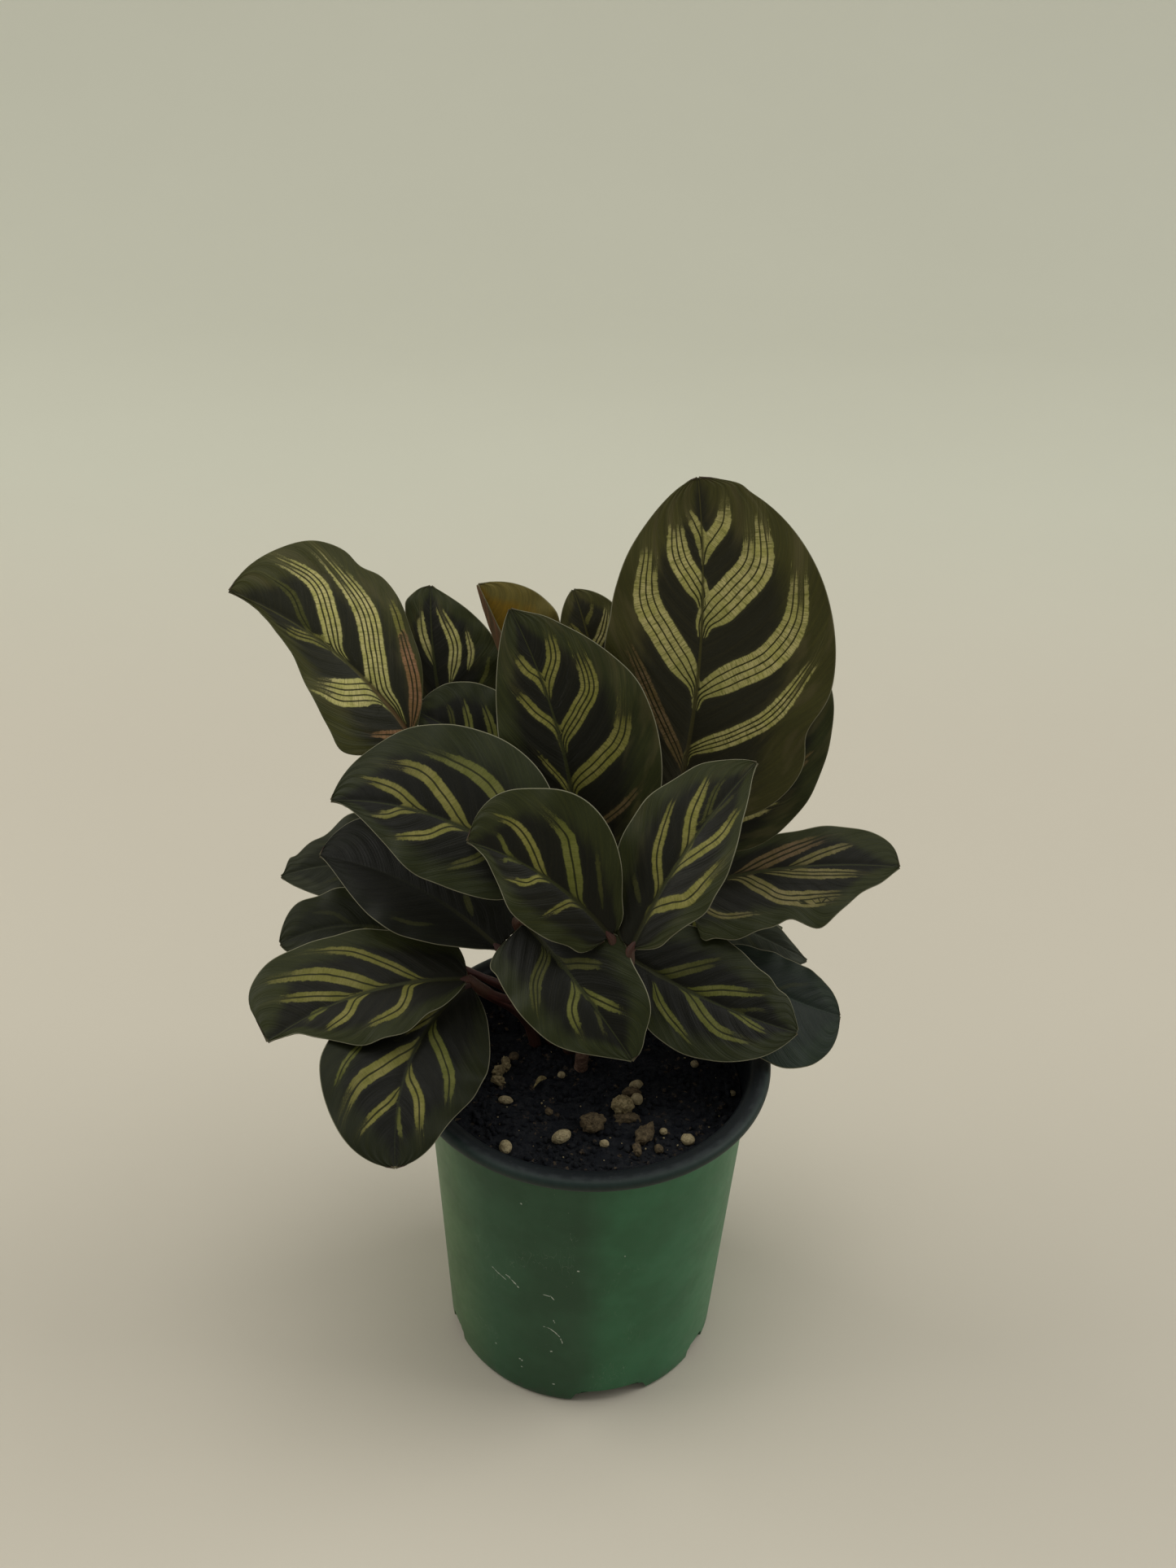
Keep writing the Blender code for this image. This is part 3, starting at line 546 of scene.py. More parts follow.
    # midrib: a dull line
    rib_w = g.step(ux, 0.0, .95, .90, .20)
    rib = g.step(mid, g.math("MULTIPLY", rib_w, .40), rib_w, 1.0, 0.0)
    rib_colour = g.mix(g.step(ux, .0, .45), g.attr("ribc", "Vector"), g.mix(1.0, outer, (1.25, 1.2, 1.2), "MULTIPLY"))
    groove = g.step(mid, g.math("MULTIPLY", rib_w, .8), g.math("ADD", rib_w, .45), .5, 0.0)
    colour = g.mix(groove, colour, deep)
    colour = g.mix(g.math("MULTIPLY", rib, .88), colour, rib_colour)
    # painted highlight: a pale line along the margin stands for light catching the leaf edge
    rim = g.step(edge, .08, .34, 1.0, 0.0)
    colour = g.mix(g.math("MULTIPLY", rim, g.attr("margin_highlight")), colour, (.26, .25, .165))

    gloss = g.math("MULTIPLY_ADD", g.noise(g.place(), .35, 2.0), .14, .40)
    gloss = g.math("MULTIPLY_ADD", mask, .08, gloss)
    fine_wave = g.noise(g.vec(g.math("MULTIPLY", lat, 1.5), g.math("MULTIPLY", mid, .08), seed), 1.0, 2.0, .5)
    height = g.math("MULTIPLY_ADD", grain, .35, fine_wave)
    height = g.math("MULTIPLY_ADD", g.noise(g.place(), 6.0, 2.0), .15, height)
    height = g.math("MULTIPLY_ADD", vein, -.25, height)
    normal = g.bump(height, .00030, .45)
    return g.surface(colour, gloss, normal, specular=.135)


def leaf_under_material():
    g = Graph("leaf_under")
    lat, mid, seed, edge = g.attr("lat"), g.attr("mid"), g.attr("seed"), g.attr("edge")
    base = g.attr("under", "Vector")
    blotch = g.noise(g.vec(g.math("MULTIPLY", lat, .30), g.math("MULTIPLY", mid, .15), seed), 1.0, 3.0, .6)
    colour = g.mix(g.step(blotch, .35, .68), base, g.mix(1.0, base, (.55, .75, .70), "MULTIPLY"))
    lines = g.noise(g.vec(g.math("MULTIPLY", lat, 1.6), g.math("MULTIPLY", mid, .05), seed), 1.0, 2.0, .6)
    colour = g.mix(g.step(lines, .55, .68, 0.0, .35), colour, g.mix(1.0, base, (1.5, 1.35, 1.25), "MULTIPLY"))
    colour = g.mix(g.step(mid, .4, 1.1, .5, 0.0), colour, (.10, .06, .03))
    colour = g.mix(g.step(edge, .10, .4, .6, 0.0), colour, (.15, .15, .08))
    return g.surface(colour, .55, g.bump(lines, .0003, .5), specular=.22)


def leaf_rim_material():
    g = Graph("leaf_rim")
    n = g.noise(g.place(), .8, 2.0)
    return g.surface(g.mix(n, (.060, .066, .034), (.130, .130, .075)), .55, specular=.25)


def stalk_material():
    g = Graph("stalk")
    t, ring, seed = g.attr("t"), g.attr("ring"), g.attr("seed")
    streak = g.noise(g.vec(g.math("MULTIPLY", t, 3.0), g.math("MULTIPLY", ring, 5.0), seed), 1.6, 3.0, .6)
    colour = g.mix(g.step(streak, .35, .68), (.030, .011, .009), (.072, .024, .019))
    foot = g.step(t, .30, .62, 1.0, 0.0)
    foot = g.math("MULTIPLY", foot, g.attr("sheath"))
    colour = g.mix(foot, colour, g.mix(streak, (.048, .034, .020), (.115, .082, .050)))
    joint = g.math("MULTIPLY", g.step(t, .80, .88), g.step(t, .98, 1.04, 1.0, 0.0))
    colour = g.mix(g.math("MULTIPLY", joint, .60), colour, g.mix(streak, (.085, .045, .028), (.050, .030, .018)))
    fleck = g.noise(g.place(), 2.2, 2.0)
    colour = g.mix(g.step(fleck, .62, .72, 0.0, .30), colour, (.110, .070, .040))
    return g.surface(colour, g.math("MULTIPLY_ADD", streak, .2, .38), g.bump(streak, .0003, .5), specular=.25)


MARKS = ((-124.4, 53.8, 1.6, .20, -.55), (-121.6, 52.7, 1.9, .16, -.42), (-117.0, 53.0, 2.0, .20, -.60),
         (-115.2, 51.6, 1.3, .28, -.75), (-118.8, 54.2, 1.0, .16, -.2), (-103.2, 51.2, 1.3, .18, -.1),
         (-101.0, 50.6, 1.2, .20, -.95), (-103.2, 35.8, 1.2, .16, -.15), (-100.4, 34.6, 1.5, .22, -.75),
         (-98.6, 33.0, 1.2, .18, -.9), (-97.2, 30.4, 1.3, .20, -1.3), (-100.2, 39.4, .8, .16, -1.2),
         (-91.6, 64.4, .38, .38, 0), (-112.3, 89.4, .34, .34, 0), (-114.4, 15.5, .75, .45, -.3),
         (-100.3, 7.8, .45, .35, 0), (-101.3, 24.4, .40, .30, .4), (-114.0, 12.0, .35, .3, 0),
         (-126.5, 17.0, .3, .3, 0), (-75.0, 70.0, .22, .22, 0), (62.0, 40.0, 2.4, .2, .8), (160.0, 60.0, 2.0, .2, -.6))


def pot_material():
    g = Graph("pot_plastic")
    p = g.place()
    x, y, z = g.split(p)
    r = g.math("SQRT", g.math("ADD", g.math("MULTIPLY", x, x), g.math("MULTIPLY", y, y)))
    cloud = g.noise(p, .045, 3.0, .6)
    green = g.mix(g.step(cloud, .35, .65), (.0155, .064, .026), (.0215, .082, .036))
    # painted light: the wall is painted lighter towards +x, the side the key lamp lights, and paler and greyer at both
    # grazing edges as a painted sheen
    turn = g.math("DIVIDE", x, g.math("MAXIMUM", r, 1.0))
    green = g.mix(g.step(turn, -.06, .24), green, g.mix(1.0, green, (1.46, 1.80, 1.78), "MULTIPLY"))
    green = g.mix(g.step(turn, -.55, -.98), green, g.mix(1.0, green, (3.1, 1.66, 1.45), "MULTIPLY"))
    green = g.mix(g.step(turn, .60, 1.0), green, g.mix(1.0, green, (1.85, 1.28, 1.35), "MULTIPLY"))
    # rub marks that run down the wall
    scuff = g.noise(g.vec(g.math("MULTIPLY", x, .10), g.math("MULTIPLY", y, .10), g.math("MULTIPLY", z, .018)), 1.0, 4.0, .65)
    green = g.mix(g.step(scuff, .55, .75, 0.0, .25), green, (.050, .125, .070))
    speck = g.voronoi(p, .42)
    grit = g.math("MULTIPLY", g.step(speck, .04, .075, 1.0, 0.0), g.step(g.noise(p, .12, 2.0), .52, .60))
    green = g.mix(g.math("MULTIPLY", grit, .55), green, (.20, .24, .17))
    # fine light scratches
    scr = g.noise(g.vec(g.math("MULTIPLY", x, .75), g.math("MULTIPLY", y, .75), g.math("MULTIPLY", z, .20)), 1.0, 1.0, .4)
    line = g.step(g.math("ABSOLUTE", g.math("SUBTRACT", scr, .5)), .0, .006, 1.0, 0.0)
    patch = g.step(g.noise(p, .06, 1.0), .60, .68)
    green = g.mix(g.math("MULTIPLY", g.math("MULTIPLY", line, patch), .45), green, (.30, .34, .27))
    # dark rolled lip and inside
    navy = g.mix(g.noise(p, .12, 3.0), (.0031, .0056, .0075), (.0054, .0086, .0108))
    dust = g.step(g.noise(p, .9, 3.0, .7), .60, .74, 0.0, .35)
    navy = g.mix(dust, navy, (.045, .050, .048))
    rolled = g.step(r, 52.2, 54.2)
    navy = g.mix(g.math("MULTIPLY", rolled, .8), navy, g.mix(g.noise(p, .5, 3.0), (.008, .020, .017), (.020, .038, .031)))
    # painted highlight: a lighter broken line along the crest of the lip, partly dust and partly painted light
    crest = g.math("MULTIPLY", g.step(r, 51.4, 52.3), g.step(r, 52.6, 53.6, 1.0, 0.0))
    navy = g.mix(g.math("MULTIPLY", crest, g.step(g.noise(p, .25, 3.0), .40, .62, .05, .35)), navy, (.034, .043, .045))
    fade = g.math("ADD", z, g.math("MULTIPLY", g.math("SUBTRACT", g.noise(p, .08, 2.0), .5), 2.0))
    top = g.step(fade, 99.0, 105.0)
    outside = g.mix(g.math("MULTIPLY", top, .45), green, (.020, .055, .042))
    inner_edge = g.math("SUBTRACT", r, g.math("MULTIPLY_ADD", z, .0551, 43.2 - 0.65))
    inside = g.step(inner_edge, -.25, .25, 1.0, 0.0)
    lip = g.step(z, 104.7, 105.3)
    dark = g.math("MAXIMUM", lip, g.math("MULTIPLY", inside, g.step(z, 2.5, 4.0)))
    # white rub marks: angle and height of the middle, length, width, slope
    for angle, high, long, wide, slope in MARKS:
        a0 = math.radians(angle)
        around = g.math("MULTIPLY", g.math("ADD", g.math("MULTIPLY", x, -math.sin(a0)),
                                           g.math("MULTIPLY", y, math.cos(a0))), 1.0)
        up = g.math("SUBTRACT", z, high)
        c, s = math.cos(slope), math.sin(slope)
        e1 = g.math("ABSOLUTE", g.math("ADD", g.math("MULTIPLY", around, c / long), g.math("MULTIPLY", up, s / long)))
        bent = g.math("MULTIPLY", g.math("MULTIPLY", e1, e1), .25)
        e2 = g.math("ADD", g.math("MULTIPLY", around, -s / wide), g.math("MULTIPLY", up, c / wide))
        e2 = g.math("ABSOLUTE", g.math("ADD", e2, bent))
        spot = g.math("MULTIPLY", g.step(e1, .75, 1.0, 1.0, 0.0), g.step(e2, .5, 1.0, 1.0, 0.0))
        spot = g.math("MULTIPLY", spot, g.step(g.noise(p, 1.4, 2.0), .38, .52, .15, 1.0))
        front = g.step(g.math("ADD", g.math("MULTIPLY", x, math.cos(a0)), g.math("MULTIPLY", y, math.sin(a0))), 20, 30)
        outside = g.mix(g.math("MULTIPLY", g.math("MULTIPLY", spot, front), .95), outside, (.50, .56, .48))
    colour = g.mix(dark, outside, navy)
    # soil dust in the bottom corner
    low = g.step(z, 1.0, 6.0, .35, 0.0)
    colour = g.mix(g.math("MULTIPLY", low, g.step(g.noise(p, .35, 3.0), .45, .60)), colour, (.055, .050, .040))
    rough = g.math("MULTIPLY_ADD", g.noise(p, .30, 3.0), .16, .36)
    rough = g.math("MULTIPLY_ADD", dark, .08, rough)
    height = g.math("MULTIPLY_ADD", g.noise(p, 2.6, 3.0, .6), .5, g.math("MULTIPLY", cloud, .8))
    return g.surface(colour, rough, g.bump(height, .00030, .30), specular=.26)


def soil_material():
    g = Graph("potting_mix")
    p = g.place()
    cell = g.voronoi(p, .75, out="Color")
    cr, cg, cb = g.split(cell)
    n = g.noise(p, .9, 4.0, .7)
    # painted reflection: the near-black mix is given a blue cast
    colour = g.mix(g.step(cr, .25, .95), (.0054, .0070, .0108), (.0130, .0146, .0178))
    colour = g.mix(g.step(n, .50, .72, 0.0, .6), colour, (.0170, .0165, .0165))
    colour = g.mix(g.math("MULTIPLY", g.step(cg, .93, .97), g.step(n, .45, .55)), colour, (.075, .055, .036))
    return g.surface(colour, g.step(n, .3, .7, .78, .96), g.bump(n, .0006, .9), specular=.22)


def grit_material(name, light, dark, pit):
    g = Graph(name)
    p = g.place()
    n = g.noise(p, .9, 4.0, .65)
    c = g.voronoi(p, 1.6)
    colour = g.mix(g.step(n, .34, .68), dark, light)
    colour = g.mix(g.step(c, .05, .28, .75, 0.0), colour, pit)
    height = g.math("MULTIPLY_ADD", n, 1.0, g.math("MULTIPLY", c, .6))
    return g.surface(colour, .88, g.bump(height, .0005, .9), specular=.25)


def floor_material():
    g = Graph("pale_floor")
    t = g.node("ShaderNodeTexCoord").outputs["Object"]
    n = g.noise(t, 2.2, 4.0, .6)
    f = g.noise(t, 260.0, 2.0, .5)
    far = g.split(t)
    wall = g.math("MAXIMUM", g.step(far[1], .30, .80), g.step(far[2], .0, .2))
    ground = g.mix(n, (.572, .532, .446), (.612, .572, .480))
    colour = g.mix(wall, ground, g.mix(n, (.596, .598, .500), (.636, .638, .538)))
    return g.surface(colour, g.math("MULTIPLY_ADD", n, .12, .42), g.bump(f, .0002, .15), specular=.35)


# ------------------------------------------------------------------ mesh help
def build_mesh(name, verts, faces, mats, slots=None, smooth_all=True, attrs=None):
    """verts (n, 3) in millimetres; faces: arrays of quads or triangles."""
    mesh = bpy.data.meshes.new(name)
    verts = np.asarray(verts, float) * MM
    sizes = [len(f) for f in faces]
    mesh.vertices.add(len(verts))
    mesh.vertices.foreach_set("co", verts.astype(np.float32).ravel())
    loops = np.concatenate([np.asarray(f, np.int32).ravel() for f in faces])
    counts = np.concatenate([np.full(len(f), np.asarray(f).shape[1], np.int32) for f in faces])
    starts = np.concatenate(([0], np.cumsum(counts)[:-1])).astype(np.int32)
    mesh.loops.add(len(loops))
    mesh.loops.foreach_set("vertex_index", loops)
    mesh.polygons.add(len(counts))
    mesh.polygons.foreach_set("loop_start", starts)
    for m in mats:
        mesh.materials.append(m)
    if slots is not None:
        index = np.concatenate([np.full(n, s, np.int32) for n, s in zip(sizes, slots)])
        mesh.polygons.foreach_set("material_index", index)
    mesh.polygons.foreach_set("use_smooth", np.full(len(counts), smooth_all, bool))
    for key, value in (attrs or {}).items():
        value = np.asarray(value, np.float32)
        if value.ndim == 2:
            a = mesh.attributes.new(key, "FLOAT_VECTOR", "POINT")
            a.data.foreach_set("vector", value.ravel())
        else:
            a = mesh.attributes.new(key, "FLOAT", "POINT")
            a.data.foreach_set("value", value)
    mesh.update(calc_edges=True)
    mesh.validate()
    obj = bpy.data.objects.new(name, mesh)
    bpy.context.scene.collection.objects.link(obj)
    return obj


def grid_faces(rows, cols, start=0, wrap=False, flip=False):
    """Quads of a rows x cols grid of vertices, row by row."""
    r = np.arange(rows - 1)[:, None]
    c = np.arange(cols if wrap else cols - 1)[None, :]
    a = start + r * cols + c
    b = start + r * cols + (c + 1) % cols
    q = np.stack((a, b, b + cols, a + cols), -1).reshape(-1, 4)
    return q[:, ::-1] if flip else q


# ------------------------------------------------------------------ leaf shape
def half_width(side, u):
    widest, at, base_full, tip_full = side
    x = np.where(u < at, (at - u) / at, (u - at) / (1 - at))
    return widest * np.maximum(0.0, 1 - x * x) ** np.where(u < at, base_full, tip_full)


def midrib(leaf, u):
    """Midrib points and their along, up and left directions, for an array u."""
    u = np.asarray(u, float)[..., None]
    base, tip = np.array(leaf["base"], float), np.array(leaf["tip"], float)
    chord = tip - base
    along = unit(chord)
    up = heading(*leaf["face"])
    up = unit(up - np.dot(up, along) * along)
    left = np.cross(up, along)
    arch, sway = leaf["bow"][:2]
    hook = leaf["bow"][2] if len(leaf["bow"]) > 2 else 0.0
    bend = 4 * u * (1 - u)
    slope = 4 - 8 * u
    tilt = 1 + hook * (2 * u - 1)
    off = up * arch * bend + left * sway * bend * tilt
    point = base + chord * u + off
    t = unit(chord + up * arch * slope + left * sway * (slope * tilt + bend * 2 * hook))
    n = unit(up - (t @ up)[..., None] * t)
    return point, t, n, np.cross(n, t)


def blade(name, u, s):
    """Upper surface at arrays u, s, with the half-width there."""
    leaf = LEAVES[name]
    point, t, n, left = midrib(leaf, u)
    hand = np.where(s >= 0, 1.0, -1.0)
    w = np.where(s >= 0, half_width(leaf["left"], u), half_width(leaf["right"], u))
    w = w + 0.7 * (1 - u) ** 8 + 0.35 * u ** 8
    rise = np.zeros_like(u)
    for sd, at, spread, extra, lift in EDGES.get(name, ()):
        bell = np.exp(-((u - at) / spread) ** 2) * (hand == sd)
        w = w + extra * bell
        rise = rise + lift * bell
    q = np.abs(s)
    fold = np.radians(np.where(s >= 0, leaf["lift"][0], leaf["lift"][1]))
    # a steep fold rolls over an arc near the midrib and then runs straight
    arc = 0.45
    full = np.abs(fold) > 1.2
    qa = np.minimum(q, arc)
    roll_x = np.where(full, arc / np.maximum(np.abs(fold), .01) * np.sin(fold * qa / arc) * np.sign(fold)
                      + (q - qa) * np.cos(fold), q * np.cos(fold))
    roll_z = np.where(full, arc / np.maximum(np.abs(fold), .01) * (1 - np.cos(fold * qa / arc)) * np.sign(fold)
                      + (q - qa) * np.sin(fold), q * np.sin(fold))
    phase = LEAF_SEED[name] * 1.7
    ripple = (0.45 * np.sin(u * 17 + phase) + 0.35 * np.sin(u * 31 + 2 * phase)) * q ** 3 * np.sin(np.pi * u) ** .5
    ripple = ripple * np.minimum(1, w / 12) + rise * q ** 2
    groove = -0.45 * np.exp(-(q * w / 1.0) ** 2) * (1 - u) ** .5
    quilt = 0.10 * np.sin(lateral(name, u, s) * (2 * math.pi / 5.5)) * np.sin(np.pi * np.clip(q, 0, 1)) ** .7
    out = w * (roll_z - DROOP * q * q) + ripple + groove + quilt
    pos = point + left * (hand * w * roll_x)[..., None] + n * out[..., None]
    return pos, w


def blade_length(leaf):
    return float(np.linalg.norm(np.array(leaf["tip"], float) - np.array(leaf["base"], float)))


def lateral(name, u, s):
    """Position of the side vein through (u, s), measured along the midrib in millimetres."""
    q = np.abs(s)
    return (u - 0.20 * q - 0.16 * q * q) * blade_length(LEAVES[name])


LEAF_SEED = {name: i * 3.37 + 1.0 for i, name in enumerate(LEAVES)}


def curve_through(points, count):
    """Smooth path through points, running on straight for a third of its length."""
    p = np.asarray(points, float)
    p = np.concatenate((2 * p[:1] - p[1:2], p, 2 * p[-1:] - p[-2:-1]))
    out = []
    for i in range(1, len(p) - 2):
        a, b, c, d = p[i - 1:i + 3]
        k = np.linspace(0, 1, count, endpoint=False)[:, None]
        out.append(.5 * (2 * b + (c - a) * k + (2 * a - 5 * b + 4 * c - d) * k ** 2 + (3 * b - a - 3 * c + d) * k ** 3))
    out = np.concatenate(out + [p[-2:-1]])
    length = np.sum(np.linalg.norm(np.diff(out, axis=0), axis=1))
    ahead = unit(out[-1] - out[-3])
    turn = unit(ahead + np.array((.5, 0)))
    extra = out[-1] + turn * (length * .35 * np.linspace(0, 1, 9)[1:, None])
    return np.concatenate((out, extra)), length


def pattern(name, u, s, w):
    """Fields of the nearest feather at every vertex."""
    leaf = LEAVES[name]
    length = blade_length(leaf)
    shape = u.shape
    best = np.full(shape, -60.0)
    f = {k: np.zeros(shape) for k in ("pv", "pa", "pe", "nl", "ps", "pb")}
    f["pd"] = np.full(shape, -60.0)
    f["pw"] = np.ones(shape)
    tone = np.zeros(shape + (3,))
    tone[...] = TONES[LIME]
    for number, (side, path, width, lines, hue, strength) in enumerate(BANDS[name]):
        wide = leaf["left"] if side > 0 else leaf["right"]
        pts = [(pu * length, ps_ * float(half_width(wide, np.array(pu)))) for pu, ps_ in path]
        if path[0][1] < .2:
            pts.insert(0, (pts[0][0] - min(.075 * length, 5.0), .2))
        line, total = curve_through(pts, 12)
        step = np.diff(line, axis=0)
        seg = np.linalg.norm(step, axis=1)
        arc = np.concatenate(([0], np.cumsum(seg)))
        tan = unit(np.gradient(line, axis=0))
        x, y = u * length, s * side * w
        dx = x[..., None] - line[:, 0]
        dy = y[..., None] - line[:, 1]
        i = np.argmin(dx * dx + dy * dy, axis=-1)
        dx = np.take_along_axis(dx, i[..., None], -1)[..., 0]
        dy = np.take_along_axis(dy, i[..., None], -1)[..., 0]
        tx, ty = tan[i, 0], tan[i, 1]
        a = arc[i] + dx * tx + dy * ty
        across = dx * ty - dy * tx
        off = np.where((a < 0) | (a > arc[-1]), np.hypot(dx, dy), np.abs(across))
        sigma = a / total
        half = .45 * width * (.22 + .78 * smooth(-.04, .28, sigma)) * (1 - .42 * smooth(.60, 1.05, sigma))
        inside = half - off
        inside = np.minimum(inside, a * 1.3 + .3)
        choose = inside - 14 * np.maximum(0, sigma - .97)
        take = choose > best
        best = np.where(take, choose, best)
        for key, value in (("pd", inside), ("pv", across), ("pw", np.maximum(half, .15)), ("pa", a), ("pe", sigma),
                           ("nl", float(lines)), ("ps", strength), ("pb", float(number))):
            f[key] = np.where(take, value, f[key])
        tone = np.where(take[..., None], np.array(TONES[hue]), tone)
    f["tone"] = tone
    return f


FACE, UNDER, RIM = leaf_face_material(), leaf_under_material(), leaf_rim_material()
STALK = stalk_material()
PIECES = []


def keep(obj, slot, *replaced):
    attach(obj, "root")
    if replaced:
        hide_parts(*replaced)
    PIECES.append(obj)
    return obj


def make_leaf(name):
    leaf = LEAVES[name]
    length = blade_length(leaf)
    widest = leaf["left"][0] + leaf["right"][0]
    rows = int(np.clip(length / .72, 44, 128)) + 1
    cols = int(np.clip(widest / .72, 24, 90)) // 2 * 2 + 1
    k = np.linspace(0, 1, rows)
    uu = .5 * (0.5 - 0.5 * np.cos(math.pi * k)) + .5 * k
    tt = np.linspace(-1, 1, cols)
    ss = .45 * np.sin(math.pi * tt / 2) + .55 * tt
    u, s = np.meshgrid(uu, ss, indexing="ij")
    top, w = blade(name, u, s)
    _, _, n, _ = midrib(leaf, u)
    # true normals of the sheet, for an even thickness
    du = np.gradient(top, axis=0)
    ds = np.gradient(top, axis=1)
    nn = unit(np.cross(du, ds))
    nn = np.where((np.sum(nn * n, -1) < 0)[..., None] & (abs(leaf["lift"][0]) < 60), -nn, nn)
    thick = .42 - .20 * np.abs(s) ** 3
    under = top - nn * thick[..., None]
    count = rows * cols
    verts = np.concatenate((top.reshape(-1, 3), under.reshape(-1, 3)))
    ring = np.concatenate((np.arange(cols), np.arange(2, rows + 1) * cols - 1,
                           np.arange(count - 2, count - cols - 1, -1), np.arange(rows - 2, 0, -1) * cols))
    nxt = np.roll(ring, -1)
    rim = np.stack((ring, ring + count, nxt + count, nxt), -1)
    top_f = grid_faces(rows, cols)
    low_f = grid_faces(rows, cols, start=count, flip=True)
    a, b, c = top.reshape(-1, 3)[top_f[len(top_f) // 2][:3]]
    if np.dot(np.cross(b - a, c - a), nn[rows // 2, cols // 2]) < 0:
        top_f, low_f, rim = top_f[:, ::-1], low_f[:, ::-1], rim[:, ::-1]
    f = pattern(name, u, s, w)
    tint = TINTS[LEAF_TINT[name]]
    ones = np.ones_like(u)
    f["lat"] = lateral(name, u, s)
    f["mid"] = np.abs(s) * w
    f["edge"] = np.minimum((1 - np.abs(s)) * w, np.minimum(u * 60 + .3, (1 - u) * length + .1))
    f["side"] = np.abs(s)
    f["ux"] = u
    f["seed"] = ones * LEAF_SEED[name]
    f["deep"] = ones[..., None] * np.array(tint[0])
    f["outer"] = ones[..., None] * np.array(tint[1])
    brown = {"tall_right": (.052, .044, .020), "top_left": (.110, .062, .026)}.get(name, (.026, .026, .010))
    f["ribc"] = ones[..., None] * np.array(brown)
    f["under"] = ones[..., None] * np.array((.130, .062, .030) if name == "young_rolled" else (.075, .024, .030))
    f["comb"] = ones * {"tall_right": 1.0, "top_left": .75, "centre_upright": .8, "right_rear": .8,
                        "rear_centre": .8, "rear_left": .7, "front_right": .6}.get(name, .45)
    # how strongly each leaf's margin gets the painted highlight
    f["margin_highlight"] = ones * {"tall_right": .60, "top_left": .20, "right_rear": .30}.get(name, .78)
    attrs = {k: np.concatenate((v.reshape((count,) + v.shape[2:]),) * 2) for k, v in f.items()}
    obj = build_mesh("blade_" + name, verts, [top_f, low_f, rim], [FACE, UNDER, RIM], slots=(0, 1, 2), attrs=attrs)
    keep(obj, "young_leaf" if name == "young_rolled" else "leaf", "leaf_" + name)


STEM_FOOT_R, STEM_R, STEM_JOINT_R, STEM_START = 1.7, 1.15, 1.45, SOIL_TOP + 0.4


SHEATH = {"top_left": 1.3, "rear_left": 1.1, "tucked_left": .9, "broad_left": .5, "tall_right": .9,
          "centre_upright": .7, "right_rear": .8, "rear_centre": .8, "young_rolled": .8, "lower_right": .4,
          "front_left": .1, "front_right": .1, "lower_left": .1, "hanging_left": .2, "low_right_outer": .4}


def stem_curve(leaf, k):
    point, t, n, _ = (v[0] for v in midrib(leaf, np.array([0.0])))
    end = point - t * 1.0
    foot = np.array((leaf["foot"][0], leaf["foot"][1], STEM_START))
    span = end - foot
    reach = np.linalg.norm(span)
    arrive = unit(span / reach * 0.55 + t * 0.45 - n * 0.15)
    low, high = leaf.get("lean", ((0, 0, 0), (0, 0, 0)))
    c1 = foot + np.array((span[0] * 0.12, span[1] * 0.12, reach * 0.42)) + np.array(low)
    c2 = end - arrive * (reach * 0.30) + np.array(high)
    k = k[:, None]
    return foot * (1 - k) ** 3 + c1 * (3 * k * (1 - k) ** 2) + c2 * (3 * k * k * (1 - k)) + end * k ** 3


def tube(path, radius, sides=14, squeeze=None):
    """Vertices and faces of a closed tube along path."""
    path = np.asarray(path)
    t = unit(np.gradient(path, axis=0))
    ref = np.array((0.0, -1.0, 0.15))
    a = unit(ref - np.sum(t * ref, -1)[:, None] * t)
    b = np.cross(t, a)
    ang = np.arange(sides) * 2 * math.pi / sides
    wide = 1.0 if squeeze is None else np.asarray(squeeze)[:, None, None]
    ringv = (a[:, None, :] * np.cos(ang)[None, :, None] + b[:, None, :] * np.sin(ang)[None, :, None] * wide)
    verts = path[:, None, :] + ringv * np.asarray(radius)[:, None, None]
    rows = len(path)
    flat = verts.reshape(-1, 3)
    flat = np.concatenate((flat, path[:1] - t[:1] * radius[0] * .3, path[-1:] + t[-1:] * radius[-1] * .3))
    quads = grid_faces(rows, sides, wrap=True)
    j = np.arange(sides)
    start = np.stack((np.full(sides, rows * sides), (j + 1) % sides, j), -1)
    last = (rows - 1) * sides
    end = np.stack((np.full(sides, rows * sides + 1), last + j, last + (j + 1) % sides), -1)
    return flat, quads, np.concatenate((start, end)), ang


